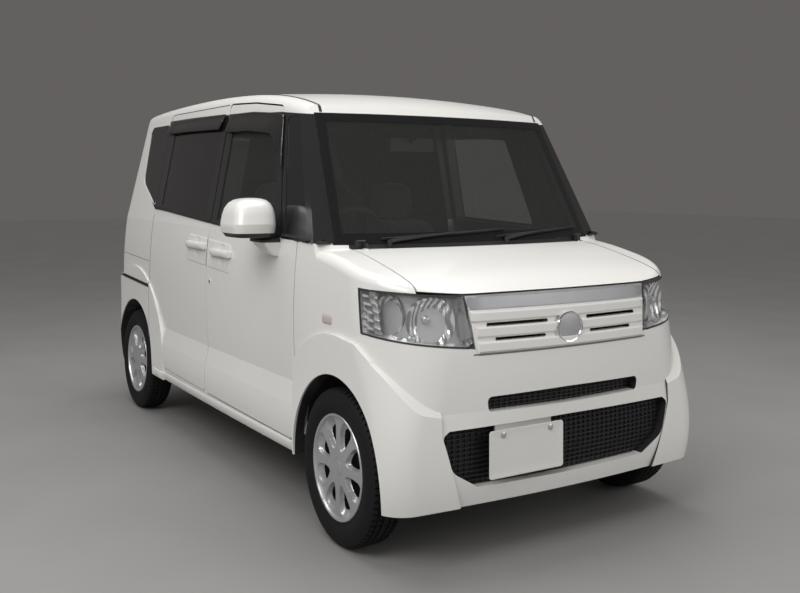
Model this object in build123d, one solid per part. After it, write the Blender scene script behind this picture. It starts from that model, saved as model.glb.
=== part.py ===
from build123d import *
import os
from math import cos, radians, sin

os.makedirs("parts", exist_ok=True)

# A tall kei-class wagon. Millimetres, +X forward, +Y left, +Z up, origin on the ground under the centre.

# Driving dimensions
FRONT_AXLE_X = 1255.5
REAR_AXLE_X = -1264.5
HUB_Z = 281.0
WHEEL_Y = 652.5
TYRE_R = 281.0
TYRE_W = 145.0
RIM_R = 182.0
WALL = 60.0
PANEL = 40.0
BONNET_SKIN = 28.0
GLASS_DEPTH = 3.0
GLASS_T = 5.0
FAR = 2200.0

# Body form: rows of height, half width, front x, rear x, front and rear corner radius, sweep of the nose
FORM_ROWS = [
    (175, 690, 1660, -1640, 110, 90, 45),
    (255, 722, 1682, -1680, 120, 100, 40),
    (440, 737, 1695, -1697.5, 135, 105, 45),
    (525, 722, 1697.5, -1697.5, 200, 105, 65),
    (850, 737.5, 1683, -1690, 290, 105, 85),
    (1090, 722, 1625, -1688, 290, 105, 85),
    (1850, 589, 1625, -1545, 250, 85, 85),
]
REAR_SWEEP = 60
FRONT_BOW, REAR_BOW = 22, 18
# Skirt form that carries the wheel-arch flares, same columns
SKIRT_ROWS = [
    (165, 715, 1672, -1660, 105, 85, 42),
    (255, 733, 1688, -1686, 112, 95, 37),
    (440, 736.5, 1697, -1693, 125, 98, 42),
    (600, 736.5, 1697, -1693, 190, 98, 62),
    (860, 736.5, 1690, -1693, 270, 98, 84),
]
SKIRT_BOW = 4

# Crown stations: x and centre height
ROOF_LINE = [(-1900, 1690), (-1450, 1735), (-1000, 1754), (-500, 1760), (0, 1751), (400, 1724),
             (700, 1676), (900, 1620), (1250, 1500)]
ROOF_DROP = 50
BONNET_LINE = [(500, 1150), (900, 1105), (1150, 1063), (1350, 1026), (1500, 990), (1600, 952), (1660, 915),
               (1760, 820)]
BONNET_DROP = 26
ROOF_EDGE_R = 60
BONNET_EDGE_R = 40
CROWN_HALF = 800

# Windscreen: arc seen from above, swept along the rake
SCREEN_R = 2072.0
SCREEN_BASE_X = 1180.0
SCREEN_BASE_Z = 1068.0
SCREEN_RAKE = -0.562
SCREEN_TOP_Z = 1597.0

# Wheel arches
FRONT_ARCH_R = 332.0
REAR_ARCH_R = 345.0
FRONT_FLARE_R = 478.0
REAR_FLARE_R = 540.0
# Crest of the front flare from the arch to the nose seen from the side, and its edge seen from the front
FLARE_CREST = [(1415, 747), (1490, 703), (1590, 605), (1622, 532), (1665, 430)]
FLARE_FACE = [(440, 160), (536, 452), (536, 870), (800, 870), (800, 160)]
FLARE_LOW_Z, FLARE_TOP_Z = 165.0, 860.0
LINER_R = 342.0
LINER_T = 5.0
LINER_OUT_Y = 676.0

# Steering
KING_Y = 552.0
STRUT_R = 20.0
SPINDLE_R = 25.0
RUN_FIT = 0.1
STEER_X, STEER_Y, STEER_Z = 560.0, -320.0, 1035.0
STEER_TILT = 28.0
STEER_RIM_R = 178.0

# Outlines seen from the side: x, z, corner radius
DOOR_FRONT_X = 905.0
DOOR_REAR_X = -60.0
DOOR_TOP_Z = 1682.0
DOOR_BELT_Z = 1078.0
FRONT_DOOR = [
    (DOOR_FRONT_X, 303, 30), (DOOR_FRONT_X, DOOR_BELT_Z, 12), (752, DOOR_BELT_Z, 12), (558, 1636, 40),
    (250, 1668, 0), (DOOR_REAR_X, DOOR_TOP_Z, 20), (DOOR_REAR_X, 312, 20),
]
FRONT_WINDOW = [(690, 1092, 30), (522, 1596, 45), (330, 1622, 0), (15, 1634, 30), (15, 1112, 22)]
SLIDING_DOOR = [
    (-66.5, 312, 20), (-66.5, 1100, 0), (-72.5, DOOR_TOP_Z, 20), (-985, DOOR_TOP_Z, 40), (-985, 716, 40),
    (-748, 540, 80), (-720, 322, 20),
]
SLIDING_WINDOW = [(-140, 1122, 22), (-140, 1634, 35), (-880, 1634, 40), (-880, 1160, 30)]
FRONT_QUARTER = [(786, 1094, 18), (985, 1090, 25), (741, 1588, 30), (622, 1588, 20)]
REAR_QUARTER = [(-1008, 1172, 25), (-1008, 1632, 30), (-1372, 1632, 60), (-1335, 1310, 80)]
HANDLE_Y = 749.0
MIRROR_IN_Y, MIRROR_OUT_Y = 752.0, 915.0
FRONT_DOOR_GAP = 7.5
SLIDE_GUIDE_Z = 321.0
REBATE_X = -82.0
REBATE_DEPTH = 20.0
SILL_LOW_Z, SILL_TOP_Z = 250.0, 296.0
SILL_IN_Y = 560.0
FLOOR_T, FIREWALL_T = 24.0, 12.0
FLOOR_TOP_Z = SILL_LOW_Z + FLOOR_T
REAR_FLOOR_LOW_Z, REAR_FLOOR_TOP_Z = 424.0, 440.0

# Front door hinges
HINGE_X = DOOR_FRONT_X - 60.0
HINGE_Y = 714.0
HINGE_HEIGHTS = (438.0, 850.0)
HINGE_PIN_R = 4.0
HINGE_EYE_R = 7.0
HINGE_NOTCH_Y = 722.5
HINGE_PIN_HALF, HINGE_NOTCH_HALF, HINGE_EYE_HALF = 26.0, 18.0, 12.0

# Centre strip of roof and windscreen seen from the front: y, z
CENTRE = [(640, 1062), (594, 1600), (570, 1632), (570, 1900)]
FENDER_X = DOOR_FRONT_X + FRONT_DOOR_GAP
BONNET_HALF = 582.0
BONNET_GAP = 6.0
BONNET_REAR_X, BONNET_REAR_MID_X = 1125.0, 1205.0
BONNET_FACE = [(0, 924), (430, 925), (BONNET_HALF, 937), (BONNET_HALF, 1200), (0, 1200)]
BONNET_AXIS_X, BONNET_AXIS_Z = 1122.0, 1082.0
BONNET_PIN_R = 5.0

# Tailgate
GATE_FRONT_X = -1476.0
GATE_GAP = 6.0
GATE_AXIS_X, GATE_AXIS_Z, GATE_PIN_R = -1473.0, 1734.0, 6.0
GATE = [(600, 566), (600, 1132), (556, 1640), (536, 1900)]
GATE_WINDOW = [(0, 1120, 0), (540, 1120, 40), (500, 1590, 60), (0, 1590, 0)]
TAIL_LAMP = [(608, 706, 20), (760, 706, 0), (760, 1124, 0), (606, 1124, 20)]

# Front end seen from the front: y, z
LAMP_FACE = [(400, 738, 25), (427, 917, 12), (590, 930, 0), (760, 942, 0), (760, 788, 0)]
LAMP_SIDE = [(1395, 950), (1431, 780), (1800, 680), (1800, 1000)]
GRILLE_FACE = [(0, 716), (388, 716), (398, 738), (415, 866), (0, 866)]
BAR_FACE = [(0, 866), (415, 866), (425, 918), (0, 918)]
SLIT_ROWS = [(817, 94, 350), (767, 108, 318)]
SLIT_H = 13.0
BUMPER_LOW_Z = 203.0
BUMPER_FACE = [(0, BUMPER_LOW_Z), (780, BUMPER_LOW_Z), (780, 790), (716, 785), (398, 736), (387, 714), (0, 714)]
BUMPER_SEAM_X = 1431.0
SLOT_FACE = [(0, 516, 0), (350, 519, 18), (357, 571, 18), (0, 575, 0)]
INTAKE_FACE = [(0, 262, 0), (386, 266, 40), (495, 330, 60), (532, 452, 20), (505, 470, 12), (0, 474, 0)]

# Number plate bracket
PLATE_Y, PLATE_BOLTS, PLATE_BOLT_Z, PLATE_BOLT_R = -193.0, 210.0, 440.0, 3.0

# Rear bumper
REAR_BUMPER_LOW_Z, REAR_BUMPER_TOP_Z = 222.0, 560.0
REAR_BUMPER_X = -1480.0

# Fuel lid, on the left rear quarter
FUEL_X, FUEL_Z, FUEL_SIZE = -1270.0, 960.0, 150.0
FUEL_GAP = 5.5
FUEL_DEPTH = 12.0
FUEL_AXIS_X, FUEL_AXIS_Y, FUEL_PIN_R = -1200.0, 721.0, 4.0
FUEL_LUG_HALF, FUEL_LUG_T = 12.0, 6.0

parts = {}


def outline(row, inset, bow_front, bow_rear):
    """One level section of the body: four arcs with rounded corners."""
    z, half, front, rear, r_front, r_rear, sweep = row
    half = half - inset
    front = front - inset
    rear = rear + inset
    corner_x = front - sweep
    tail_x = rear + REAR_SWEEP
    with BuildSketch(Plane.XY.offset(z)) as sketch:
        with BuildLine():
            ThreePointArc((corner_x, bow_front - half), (front, 0), (corner_x, half - bow_front))
            ThreePointArc((corner_x, half - bow_front), (0, half), (tail_x, half - bow_rear))
            ThreePointArc((tail_x, half - bow_rear), (rear, 0), (tail_x, bow_rear - half))
            ThreePointArc((tail_x, bow_rear - half), (0, -half), (corner_x, bow_front - half))
        make_face()
        fillet([v for v in sketch.vertices() if v.X > 0], max(r_front - inset, 20))
        fillet([v for v in sketch.vertices() if v.X < tail_x + 1], max(r_rear - inset, 20))
    return sketch.sketch.face()


def body_stack(inset):
    """Body sides from sill to roof, before the roof and bonnet are cut."""
    faces = [outline(row, inset, FRONT_BOW, REAR_BOW) for row in FORM_ROWS]
    lower = loft(faces[0:3]) + loft(faces[2:4], ruled=True)
    return lower + loft(faces[3:6]) + loft(faces[5:7], ruled=True)


def above(stations, drop, inset):
    """Everything above a crowned surface."""
    sections = []
    for x, z in stations:
        edge_z = z - inset - drop
        with BuildSketch(Plane.YZ.offset(x)) as sketch:
            with BuildLine():
                ThreePointArc((-CROWN_HALF, edge_z), (0, z - inset), (CROWN_HALF, edge_z))
                Polyline((CROWN_HALF, edge_z), (CROWN_HALF, FAR), (-CROWN_HALF, FAR), (-CROWN_HALF, edge_z))
            make_face()
        sections.append(sketch.sketch.face())
    return loft(sections)


def ahead_of_screen(inset):
    """Everything in front of the raked windscreen surface."""
    low, high = 900.0, 2000.0
    half = 900.0
    sag = SCREEN_R - (SCREEN_R ** 2 - half ** 2) ** 0.5
    mid_x = SCREEN_BASE_X - inset / cos(radians(29.3)) + (low - SCREEN_BASE_Z) * SCREEN_RAKE
    with BuildSketch(Plane.XY.offset(low)) as sketch:
        with BuildLine():
            ThreePointArc((mid_x - sag, -half), (mid_x, 0), (mid_x - sag, half))
            Polyline((mid_x - sag, half), (3500, half), (3500, -half), (mid_x - sag, -half))
        make_face()
    way = Vector((high - low) * SCREEN_RAKE, 0, high - low)
    return extrude(sketch.sketch.face(), amount=way.length, dir=way.normalized())


forms = {}


def body_form(inset, rounded=False):
    """The closed body without its skirts, inset evenly, each size made once."""
    if (inset, rounded) not in forms:
        forms[(inset, rounded)] = make_form(inset, rounded)
    return forms[(inset, rounded)]


def make_form(inset, rounded):
    """One closed body form."""
    form = body_stack(inset) - above(ROOF_LINE, ROOF_DROP, inset)
    if rounded:
        rails = [e for e in form.edges() if e.bounding_box().min.Z > 1400 and e.center().X < 1200
                 and (abs(e.center().Y) > 300 or e.center().X < -1400)]
        form = form.fillet(ROOF_EDGE_R, rails)
    form = form - (ahead_of_screen(inset) & above(BONNET_LINE, BONNET_DROP, inset))
    if rounded:
        shoulders = [e for e in form.edges() if e.center().X > 1150 and e.center().Z > 820
                     and e.bounding_box().min.Z > 700 and e.bounding_box().max.Z < 1130
                     and not (abs(e.center().Y) < 1 and e.length > 1200)]
        form = form.fillet(BONNET_EDGE_R, shoulders)
    return form


def rounded_face(plane, rows):
    """A polygon face with its own radius at each corner: a, b, radius."""
    with BuildSketch(plane) as sketch:
        with BuildLine():
            Polyline(*[(a, b) for a, b, r in rows], close=True)
        make_face()
        for a, b, r in rows:
            if r:
                corner = min(sketch.vertices(), key=lambda v: (v.X - a) ** 2 + (v.Y - b) ** 2)
                fillet(corner, r)
    return sketch.sketch


def side_block(rows, near=500.0, far=800.0, grow=0.0):
    """A block on the right-hand side with an outline seen from the side."""
    rows = [row if len(row) == 3 else (row[0], row[1], 0) for row in rows]
    sketch = rounded_face(Plane.XZ.offset(near), rows)
    if grow:
        sketch = offset(sketch, amount=grow)
    return extrude(sketch, amount=far - near)


def face_block(rows, x_low, x_high, both=True, grow=0.0):
    """A block along X with an outline seen from the front, mirrored across the middle where asked."""
    rows = [row if len(row) == 3 else (row[0], row[1], 0) for row in rows]
    sketch = rounded_face(Plane.YZ.offset(x_low), rows)
    if both:
        sketch = sketch + mirror(sketch, about=Plane.XZ)
    if grow:
        sketch = offset(sketch, amount=grow)
    return extrude(sketch, amount=x_high - x_low)


def box(x0, x1, y0, y1, z0, z1):
    """A box by its limits."""
    return Pos((x0 + x1) / 2, (y0 + y1) / 2, (z0 + z1) / 2) * Box(x1 - x0, y1 - y0, z1 - z0)


def rod_y(x, z, r, y0, y1):
    """A cylinder along Y."""
    return Pos(x, (y0 + y1) / 2, z) * Rot(90, 0, 0) * Cylinder(r, y1 - y0)


def rod_z(x, y, r, z0, z1):
    """An upright cylinder."""
    return Pos(x, y, (z0 + z1) / 2) * Cylinder(r, z1 - z0)


def rod(p, q, r):
    """A cylinder between two points."""
    start = Vector(*p)
    way = Vector(*q) - start
    return extrude(Plane(origin=start, z_dir=way) * Circle(r), amount=way.length)


def left_of(shape):
    """The same piece on the other side."""
    return mirror(shape, about=Plane.XZ)


def both_sides(shape):
    """A right-hand piece with its left-hand twin."""
    return shape + left_of(shape)


# Forms
outer = body_form(0.0, rounded=True)
skirt_faces = [outline(row, 0.0, SKIRT_BOW, SKIRT_BOW) for row in SKIRT_ROWS]
skirt = loft(skirt_faces)
flare_rows = [(FRONT_AXLE_X, FLARE_LOW_Z), (FRONT_AXLE_X, HUB_Z + FRONT_FLARE_R)] + FLARE_CREST
flare_rows = flare_rows + [(1800, FLARE_CREST[-1][1]), (1800, FLARE_LOW_Z)]
front_flare = rod_y(FRONT_AXLE_X, HUB_Z, FRONT_FLARE_R, -800, -440) + side_block(flare_rows, 440)
front_flare = front_flare & box(FENDER_X, 1800, -800, -440, FLARE_LOW_Z, FLARE_TOP_Z)
front_flare = front_flare & left_of(face_block(FLARE_FACE, 900, 1800, both=False))
rear_flare = rod_y(REAR_AXLE_X, HUB_Z, REAR_FLARE_R, -800, -560)
rear_flare = rear_flare & box(-1800, -700, -800, -560, FLARE_LOW_Z, FLARE_TOP_Z)
flares = skirt & both_sides(front_flare + rear_flare)
hull = outer + flares
inner_panel = body_form(PANEL)
inner_wall = body_form(WALL)
glass_out = body_form(GLASS_DEPTH)
glass_in = body_form(GLASS_DEPTH + GLASS_T)
shell_wall = hull - inner_wall
shell_panel = hull - inner_panel
glass_layer = glass_out - glass_in

front_arch = rod_y(FRONT_AXLE_X, HUB_Z, FRONT_ARCH_R, -800, -400)
rear_arch = rod_y(REAR_AXLE_X, HUB_Z, REAR_ARCH_R, -800, -400)
right_half = box(-1800, 1800, -900, -0.5, 0, 2000)

centre_rows = [(0, CENTRE[0][1])] + CENTRE + [(0, CENTRE[-1][1])]
centre_block = face_block(centre_rows, 640, 1300)
ROOF_HALF = CENTRE[-1][0]
roof_block = box(GATE_FRONT_X + GATE_GAP, 1300, -ROOF_HALF, ROOF_HALF, 1400, 2000)
gate_rows = [(0, GATE[0][1])] + GATE + [(0, GATE[-1][1])]
gate_block = face_block(gate_rows, -1800, GATE_FRONT_X)
gate_hole = face_block(gate_rows, -1800, GATE_FRONT_X + GATE_GAP, grow=GATE_GAP)
lamp_block = face_block(LAMP_FACE, 1300, 1800, both=False) & left_of(side_block(LAMP_SIDE, 380, 780))
lamp_blocks = both_sides(lamp_block)
bumper_block = face_block(BUMPER_FACE, BUMPER_SEAM_X, 1800)
tail_block = face_block(TAIL_LAMP, -1800, -1560, both=False)

# Front doors
door_block = side_block(FRONT_DOOR, 500, 800)
door_hole = side_block(FRONT_DOOR, 480, 800, grow=FRONT_DOOR_GAP)
front_window = side_block(FRONT_WINDOW, 480, 800)
front_door = (shell_wall & door_block) - front_window
for height in HINGE_HEIGHTS:
    notch_low, notch_top = height - HINGE_NOTCH_HALF, height + HINGE_NOTCH_HALF
    front_door = front_door - box(HINGE_X - 17, DOOR_FRONT_X + 5, -HINGE_NOTCH_Y, -600, notch_low, notch_top)
    pin_low, pin_top = height - HINGE_PIN_HALF, height + HINGE_PIN_HALF
    front_door = front_door + rod_z(HINGE_X, -HINGE_Y, HINGE_PIN_R, pin_low, pin_top)
front_handle = box(6, 244, -HANDLE_Y, -690, 966, 994)
front_door = front_door + (front_handle - inner_panel)
front_door_glass = glass_layer & side_block(FRONT_WINDOW, 480, 800, grow=8.0)
parts["front_door_right"] = front_door - front_door_glass
parts["front_door_left"] = left_of(parts["front_door_right"])
parts["front_door_glass_right"] = front_door_glass
parts["front_door_glass_left"] = left_of(front_door_glass)

# Sliding doors
slide_block = side_block(SLIDING_DOOR, 500, 800)
slide_hole = side_block(SLIDING_DOOR, 480, 800, grow=4.0)
slide_window = side_block(SLIDING_WINDOW, 480, 800)
sliding_door = (shell_wall & slide_block) - slide_window - rear_arch
rebate = body_form(REBATE_DEPTH) & box(REBATE_X, DOOR_REAR_X, -800, -480, 290, 1720)
sliding_door = sliding_door - rebate
slide_handle = box(-339, -81, -HANDLE_Y, -690, 986, 1014)
sliding_door = sliding_door + (slide_handle - inner_panel)
slide_guide = box(-420, -340, -700, -600, SLIDE_GUIDE_Z, SLIDE_GUIDE_Z + 21)
sliding_door = sliding_door + slide_guide + box(-420, -340, -655, -600, SILL_TOP_Z, SLIDE_GUIDE_Z)
slide_glass = glass_layer & side_block(SLIDING_WINDOW, 480, 800, grow=8.0)
parts["sliding_door_right"] = sliding_door - slide_glass
parts["sliding_door_left"] = left_of(parts["sliding_door_right"])

# Body sides
quarter_front = side_block(FRONT_QUARTER, 480, 800)
quarter_rear = side_block(REAR_QUARTER, 480, 800)
quarter_glass = glass_layer & (side_block(FRONT_QUARTER, 480, 800, grow=7.0)
                               + side_block(REAR_QUARTER, 480, 800, grow=8.0))
rear_bumper_block = box(-1800, REAR_BUMPER_X, -800, 800, REAR_BUMPER_LOW_Z, REAR_BUMPER_TOP_Z)
side_zone = box(-1800, FENDER_X, -900, -1, SILL_LOW_Z, 2000)
side_zone = side_zone + box(FENDER_X - 1, 1300, -900, -1, DOOR_BELT_Z - 2, 2000)
body_side = shell_wall & side_zone
body_side = body_side + (hull & box(-910, FENDER_X, -800, -SILL_IN_Y, SILL_LOW_Z, SILL_TOP_Z))
body_side = body_side + (hull & box(-1470, 640, -800, -570, 1694, 2000))
post = (body_form(WALL + 7.0) - body_form(WALL + 45.0)) & box(-112, -8, -800, -400, 280, 1700)
head = (inner_panel & box(-112, -8, -600, -505, 1650, 1760)) - slide_hole - door_hole
post_foot = box(-112, -8, -620, -SILL_IN_Y, 270, 305)
body_side = body_side - centre_block - roof_block - gate_hole - door_hole - slide_hole - rear_arch
body_side = body_side - box(-1800, REAR_BUMPER_X, -800, 800, 100, REAR_BUMPER_TOP_Z)
body_side = body_side - left_of(tail_block) - quarter_front - quarter_rear - quarter_glass
body_side = body_side + post + head + post_foot
for height in HINGE_HEIGHTS:
    eye_low, eye_top = height - HINGE_EYE_HALF, height + HINGE_EYE_HALF
    eye = rod_z(HINGE_X, -HINGE_Y, HINGE_EYE_R, eye_low, eye_top)
    arm = box(HINGE_X - 5, HINGE_X + 5, -HINGE_Y, -630, eye_low, eye_top)
    plate = box(HINGE_X - 5, FENDER_X, -642, -630, eye_low, eye_top)
    bore = rod_z(HINGE_X, -HINGE_Y, HINGE_PIN_R + RUN_FIT, height - 45, height + 45)
    body_side = body_side + (eye + arm + plate - bore)
hinge_post = inner_panel - body_form(WALL + 60.0)
hinge_post = hinge_post & box(FENDER_X, FENDER_X + FIREWALL_T, -800, -560, 270, DOOR_BELT_Z - 2)
body_side = body_side + hinge_post
parts["body_side_right"] = body_side
parts["fixed_side_glass"] = both_sides(quarter_glass + slide_glass)

# Fuel lid and its recess, left side only
fuel_half = FUEL_SIZE / 2
fuel_zone = box(FUEL_X - fuel_half, FUEL_X + fuel_half, 600, 800, FUEL_Z - fuel_half, FUEL_Z + fuel_half)
fuel_lid = (outer - body_form(FUEL_DEPTH)) & fuel_zone
fuel_grow = fuel_half + FUEL_GAP
fuel_hole = box(FUEL_X - fuel_grow, FUEL_X + fuel_grow, 600, 800, FUEL_Z - fuel_grow, FUEL_Z + fuel_grow)
fuel_hole = fuel_hole - body_form(FUEL_DEPTH + 18.0)
parts["fuel_lid"] = fuel_lid - rod_z(FUEL_AXIS_X, FUEL_AXIS_Y, FUEL_PIN_R + RUN_FIT, FUEL_Z - 34, FUEL_Z + 34)
fuel_pin = rod_z(FUEL_AXIS_X, FUEL_AXIS_Y, FUEL_PIN_R, FUEL_Z - 30, FUEL_Z + 30)
lug_slot = FUEL_LUG_HALF + 2
parts["fuel_lid"] = parts["fuel_lid"] - box(
    FUEL_AXIS_X - 8, FUEL_X + fuel_grow, 600, 800, FUEL_Z - lug_slot, FUEL_Z + lug_slot)
fuel_lug = box(FUEL_AXIS_X, FUEL_X + fuel_grow + 4, FUEL_AXIS_Y - FUEL_LUG_T / 2, FUEL_AXIS_Y + FUEL_LUG_T / 2,
               FUEL_Z - FUEL_LUG_HALF, FUEL_Z + FUEL_LUG_HALF)
parts["body_side_left"] = left_of(body_side) - fuel_hole + fuel_lug + fuel_pin

# Roof, windscreen and cowl
header_cut = box(600, 1400, -800, 800, 900, SCREEN_TOP_Z)
roof = (shell_panel & (roof_block + centre_block)) - header_cut
gate_pins = rod_y(GATE_AXIS_X, GATE_AXIS_Z, GATE_PIN_R, 60, 130)
parts["roof_panel"] = roof + (both_sides(gate_pins))
screen_block = centre_block & box(640, 1300, -800, 800, SCREEN_BASE_Z, SCREEN_TOP_Z - 0.5)
parts["windscreen"] = (outer - body_form(GLASS_T)) & screen_block
with BuildSketch(Plane.XY.offset(900)) as plan:
    with BuildLine():
        ThreePointArc((BONNET_REAR_X, -BONNET_HALF), (BONNET_REAR_MID_X, 0), (BONNET_REAR_X, BONNET_HALF))
        Polyline((BONNET_REAR_X, BONNET_HALF), (1800, BONNET_HALF), (1800, -BONNET_HALF),
                 (BONNET_REAR_X, -BONNET_HALF))
    make_face()
bonnet_block = extrude(plan.sketch, amount=300) & face_block(BONNET_FACE, 1000, 1800)
bonnet_hole = extrude(offset(plan.sketch, amount=BONNET_GAP), amount=300)
bonnet_shell = outer - body_form(BONNET_SKIN)
bonnet_lug = rod_y(BONNET_AXIS_X, BONNET_AXIS_Z, 9, -541, -531)
bonnet_lug = bonnet_lug + box(BONNET_AXIS_X, 1150, -541, -531, 1048, 1088)
bonnet_lug = bonnet_lug - rod_y(BONNET_AXIS_X, BONNET_AXIS_Z, BONNET_PIN_R + RUN_FIT, -545, -525)
bonnet_lug = bonnet_lug - above(BONNET_LINE, BONNET_DROP, -22.0)
parts["bonnet"] = (bonnet_shell & bonnet_block) + both_sides(bonnet_lug)
cowl = (outer - body_form(25.0)) & box(1000, 1230, -588, 588, 1000, SCREEN_BASE_Z - 0.5)
cowl = cowl - bonnet_hole - both_sides(box(1105, 1160, -546, -526, 1030, 1110))
cowl = cowl + both_sides(rod_y(BONNET_AXIS_X, BONNET_AXIS_Z, BONNET_PIN_R, -570, -530)
                         + box(BONNET_AXIS_X - 12, BONNET_AXIS_X, -570, -545, 1050, BONNET_AXIS_Z))
parts["cowl_panel"] = cowl - parts["windscreen"]

# Front fenders and bumper, grille, lamps
fender_zone = box(FENDER_X, 1800, -900, -588, SILL_LOW_Z, DOOR_BELT_Z - 2.5)
fender_zone = fender_zone - box(1000, 1300, -646, -580, SCREEN_BASE_Z - 0.5, 1100)
fender = (shell_panel & fender_zone) - front_arch - left_of(lamp_block) - bumper_block - hinge_post
parts["front_fender_right"] = fender
parts["front_fender_left"] = left_of(fender)
bumper = (shell_panel & bumper_block) - both_sides(front_arch) - lamp_blocks
slot_block = face_block(SLOT_FACE, 1500, 1800)
intake_block = face_block(INTAKE_FACE, 1500, 1800)
bumper = bumper - slot_block - intake_block
bracket = box(1668, 1676, PLATE_Y - 125, PLATE_Y + 125, 425, 495)
bumper = bumper + bracket
for bolt_y in (PLATE_Y - PLATE_BOLTS / 2, PLATE_Y + PLATE_BOLTS / 2):
    bumper = bumper - rod((1660, bolt_y, PLATE_BOLT_Z), (1690, bolt_y, PLATE_BOLT_Z), PLATE_BOLT_R)
parts["front_bumper"] = bumper
mesh_zone = face_block(SLOT_FACE, 1500, 1800, grow=14) + face_block(INTAKE_FACE, 1500, 1800, grow=14)
parts["intake_mesh"] = (inner_panel - body_form(PANEL + 6.0)) & mesh_zone
parts["headlamps"] = ((hull - body_form(80.0)) & lamp_blocks) - box(1000, 1800, -398, 398, 0, 2000)
grille = (outer - body_form(25.0)) & face_block(GRILLE_FACE, 1500, 1800)
for slit_z, slit_in, slit_out in SLIT_ROWS:
    slit = box(1500, 1800, -slit_out, -slit_in, slit_z - SLIT_H / 2, slit_z + SLIT_H / 2)
    grille = grille - both_sides(slit)
parts["grille"] = grille - lamp_blocks
parts["grille_bar"] = ((outer - body_form(22.0)) & face_block(BAR_FACE, 1500, 1800)) - lamp_blocks

# Tail
gate_window = face_block(GATE_WINDOW, -1800, -1300)
tailgate = (shell_wall & gate_block) - gate_window
gate_glass = glass_layer & face_block(GATE_WINDOW, -1800, GATE_FRONT_X, grow=8.0)
tailgate = tailgate - gate_glass - both_sides(rod_y(GATE_AXIS_X, GATE_AXIS_Z, GATE_PIN_R + RUN_FIT, 54, 136))
parts["tailgate"] = tailgate
parts["tailgate_glass"] = gate_glass
parts["tail_lamps"] = both_sides((shell_wall & tail_block) - gate_hole)
rear_bumper = ((hull - body_form(45.0)) & rear_bumper_block) - both_sides(rear_arch)
parts["rear_bumper"] = rear_bumper

# Floor, firewall and wheelhouses
floor = box(-880, FENDER_X, -SILL_IN_Y, SILL_IN_Y, SILL_LOW_Z, FLOOR_TOP_Z)
floor = floor + box(-892, -880, -SILL_IN_Y, SILL_IN_Y, SILL_LOW_Z, REAR_FLOOR_TOP_Z)
floor = floor + box(-1610, -880, -SILL_IN_Y, SILL_IN_Y, REAR_FLOOR_LOW_Z, REAR_FLOOR_TOP_Z)
floor = floor + box(FENDER_X, FENDER_X + FIREWALL_T, -SILL_IN_Y, SILL_IN_Y, SILL_LOW_Z, 1010)
floor = floor + both_sides(box(FENDER_X + FIREWALL_T, 1560, -402, -390, 400, 900))
parts["floor_pan"] = floor


def liner(x, out_y, in_y):
    """Half a drum over a wheel."""
    ring = rod_y(x, HUB_Z, LINER_R + LINER_T, -out_y, -in_y) - rod_y(x, HUB_Z, LINER_R, -out_y - 1, -in_y + 1)
    return ring & box(x - 400, x + 400, -800, 0, HUB_Z, 900)


front_liner = liner(FRONT_AXLE_X, LINER_OUT_Y, 403)
rear_liner = liner(REAR_AXLE_X, LINER_OUT_Y, SILL_IN_Y)
rear_well = (rod_y(REAR_AXLE_X, HUB_Z, LINER_R + LINER_T, -SILL_IN_Y, -548)
             & box(REAR_AXLE_X - 400, REAR_AXLE_X + 400, -800, 0, 441, 900))
front_liner = front_liner - rod_z(FRONT_AXLE_X, -KING_Y, 30, 500, 700)
front_liner = (front_liner & inner_panel) & box(FENDER_X + FIREWALL_T + 0.5, 1800, -800, 0, 0, 2000)
rear_liner = (rear_liner + rear_well) & inner_wall
parts["wheelhouses"] = both_sides(front_liner + rear_liner)

# Running gear
parts["engine"] = box(980, 1400, -360, 360, 262, 740)
subframe = box(1040, 1400, -360, 360, 205, 250)
arm_rows = [(1120, 262), (1390, 262), (1290, 590), (1221, 590)]
with BuildSketch(Plane.XY.offset(170)) as arm_plan:
    with BuildLine():
        Polyline(*[(x, -y) for x, y in arm_rows], close=True)
    make_face()
arm = extrude(arm_plan.sketch, amount=24) + box(1120, 1390, -360, -262, 170, 206)
leg = box(1050, 1090, -402, -340, 206, 250) + box(1050, 1090, -402, -366, 206, 400)
parts["front_subframe"] = subframe + both_sides(arm + leg) + box(1180, 1330, -60, 60, 249, 262)

knuckle = rod_z(FRONT_AXLE_X, -KING_Y, STRUT_R, 200, 820)
knuckle = knuckle + box(FRONT_AXLE_X - 46, FRONT_AXLE_X + 46, -573, -532, 205, 352)
knuckle = knuckle + rod_y(FRONT_AXLE_X, HUB_Z, SPINDLE_R, -684, -560)
knuckle = knuckle + rod_z(FRONT_AXLE_X, -KING_Y, 55, 640, 652) + rod_z(FRONT_AXLE_X, -KING_Y, 42, 652, 800)
knuckle = knuckle + rod_z(FRONT_AXLE_X, -KING_Y, 14, 194.5, 201)
parts["front_knuckle_right"] = knuckle
parts["front_knuckle_left"] = left_of(knuckle)
tower = rod_z(FRONT_AXLE_X, -KING_Y, 70, 826, 838)
tower = tower + box(FRONT_AXLE_X - 60, FRONT_AXLE_X + 60, -500, -390, 826, 838)
parts["floor_pan"] = parts["floor_pan"] + both_sides(tower)

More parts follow.
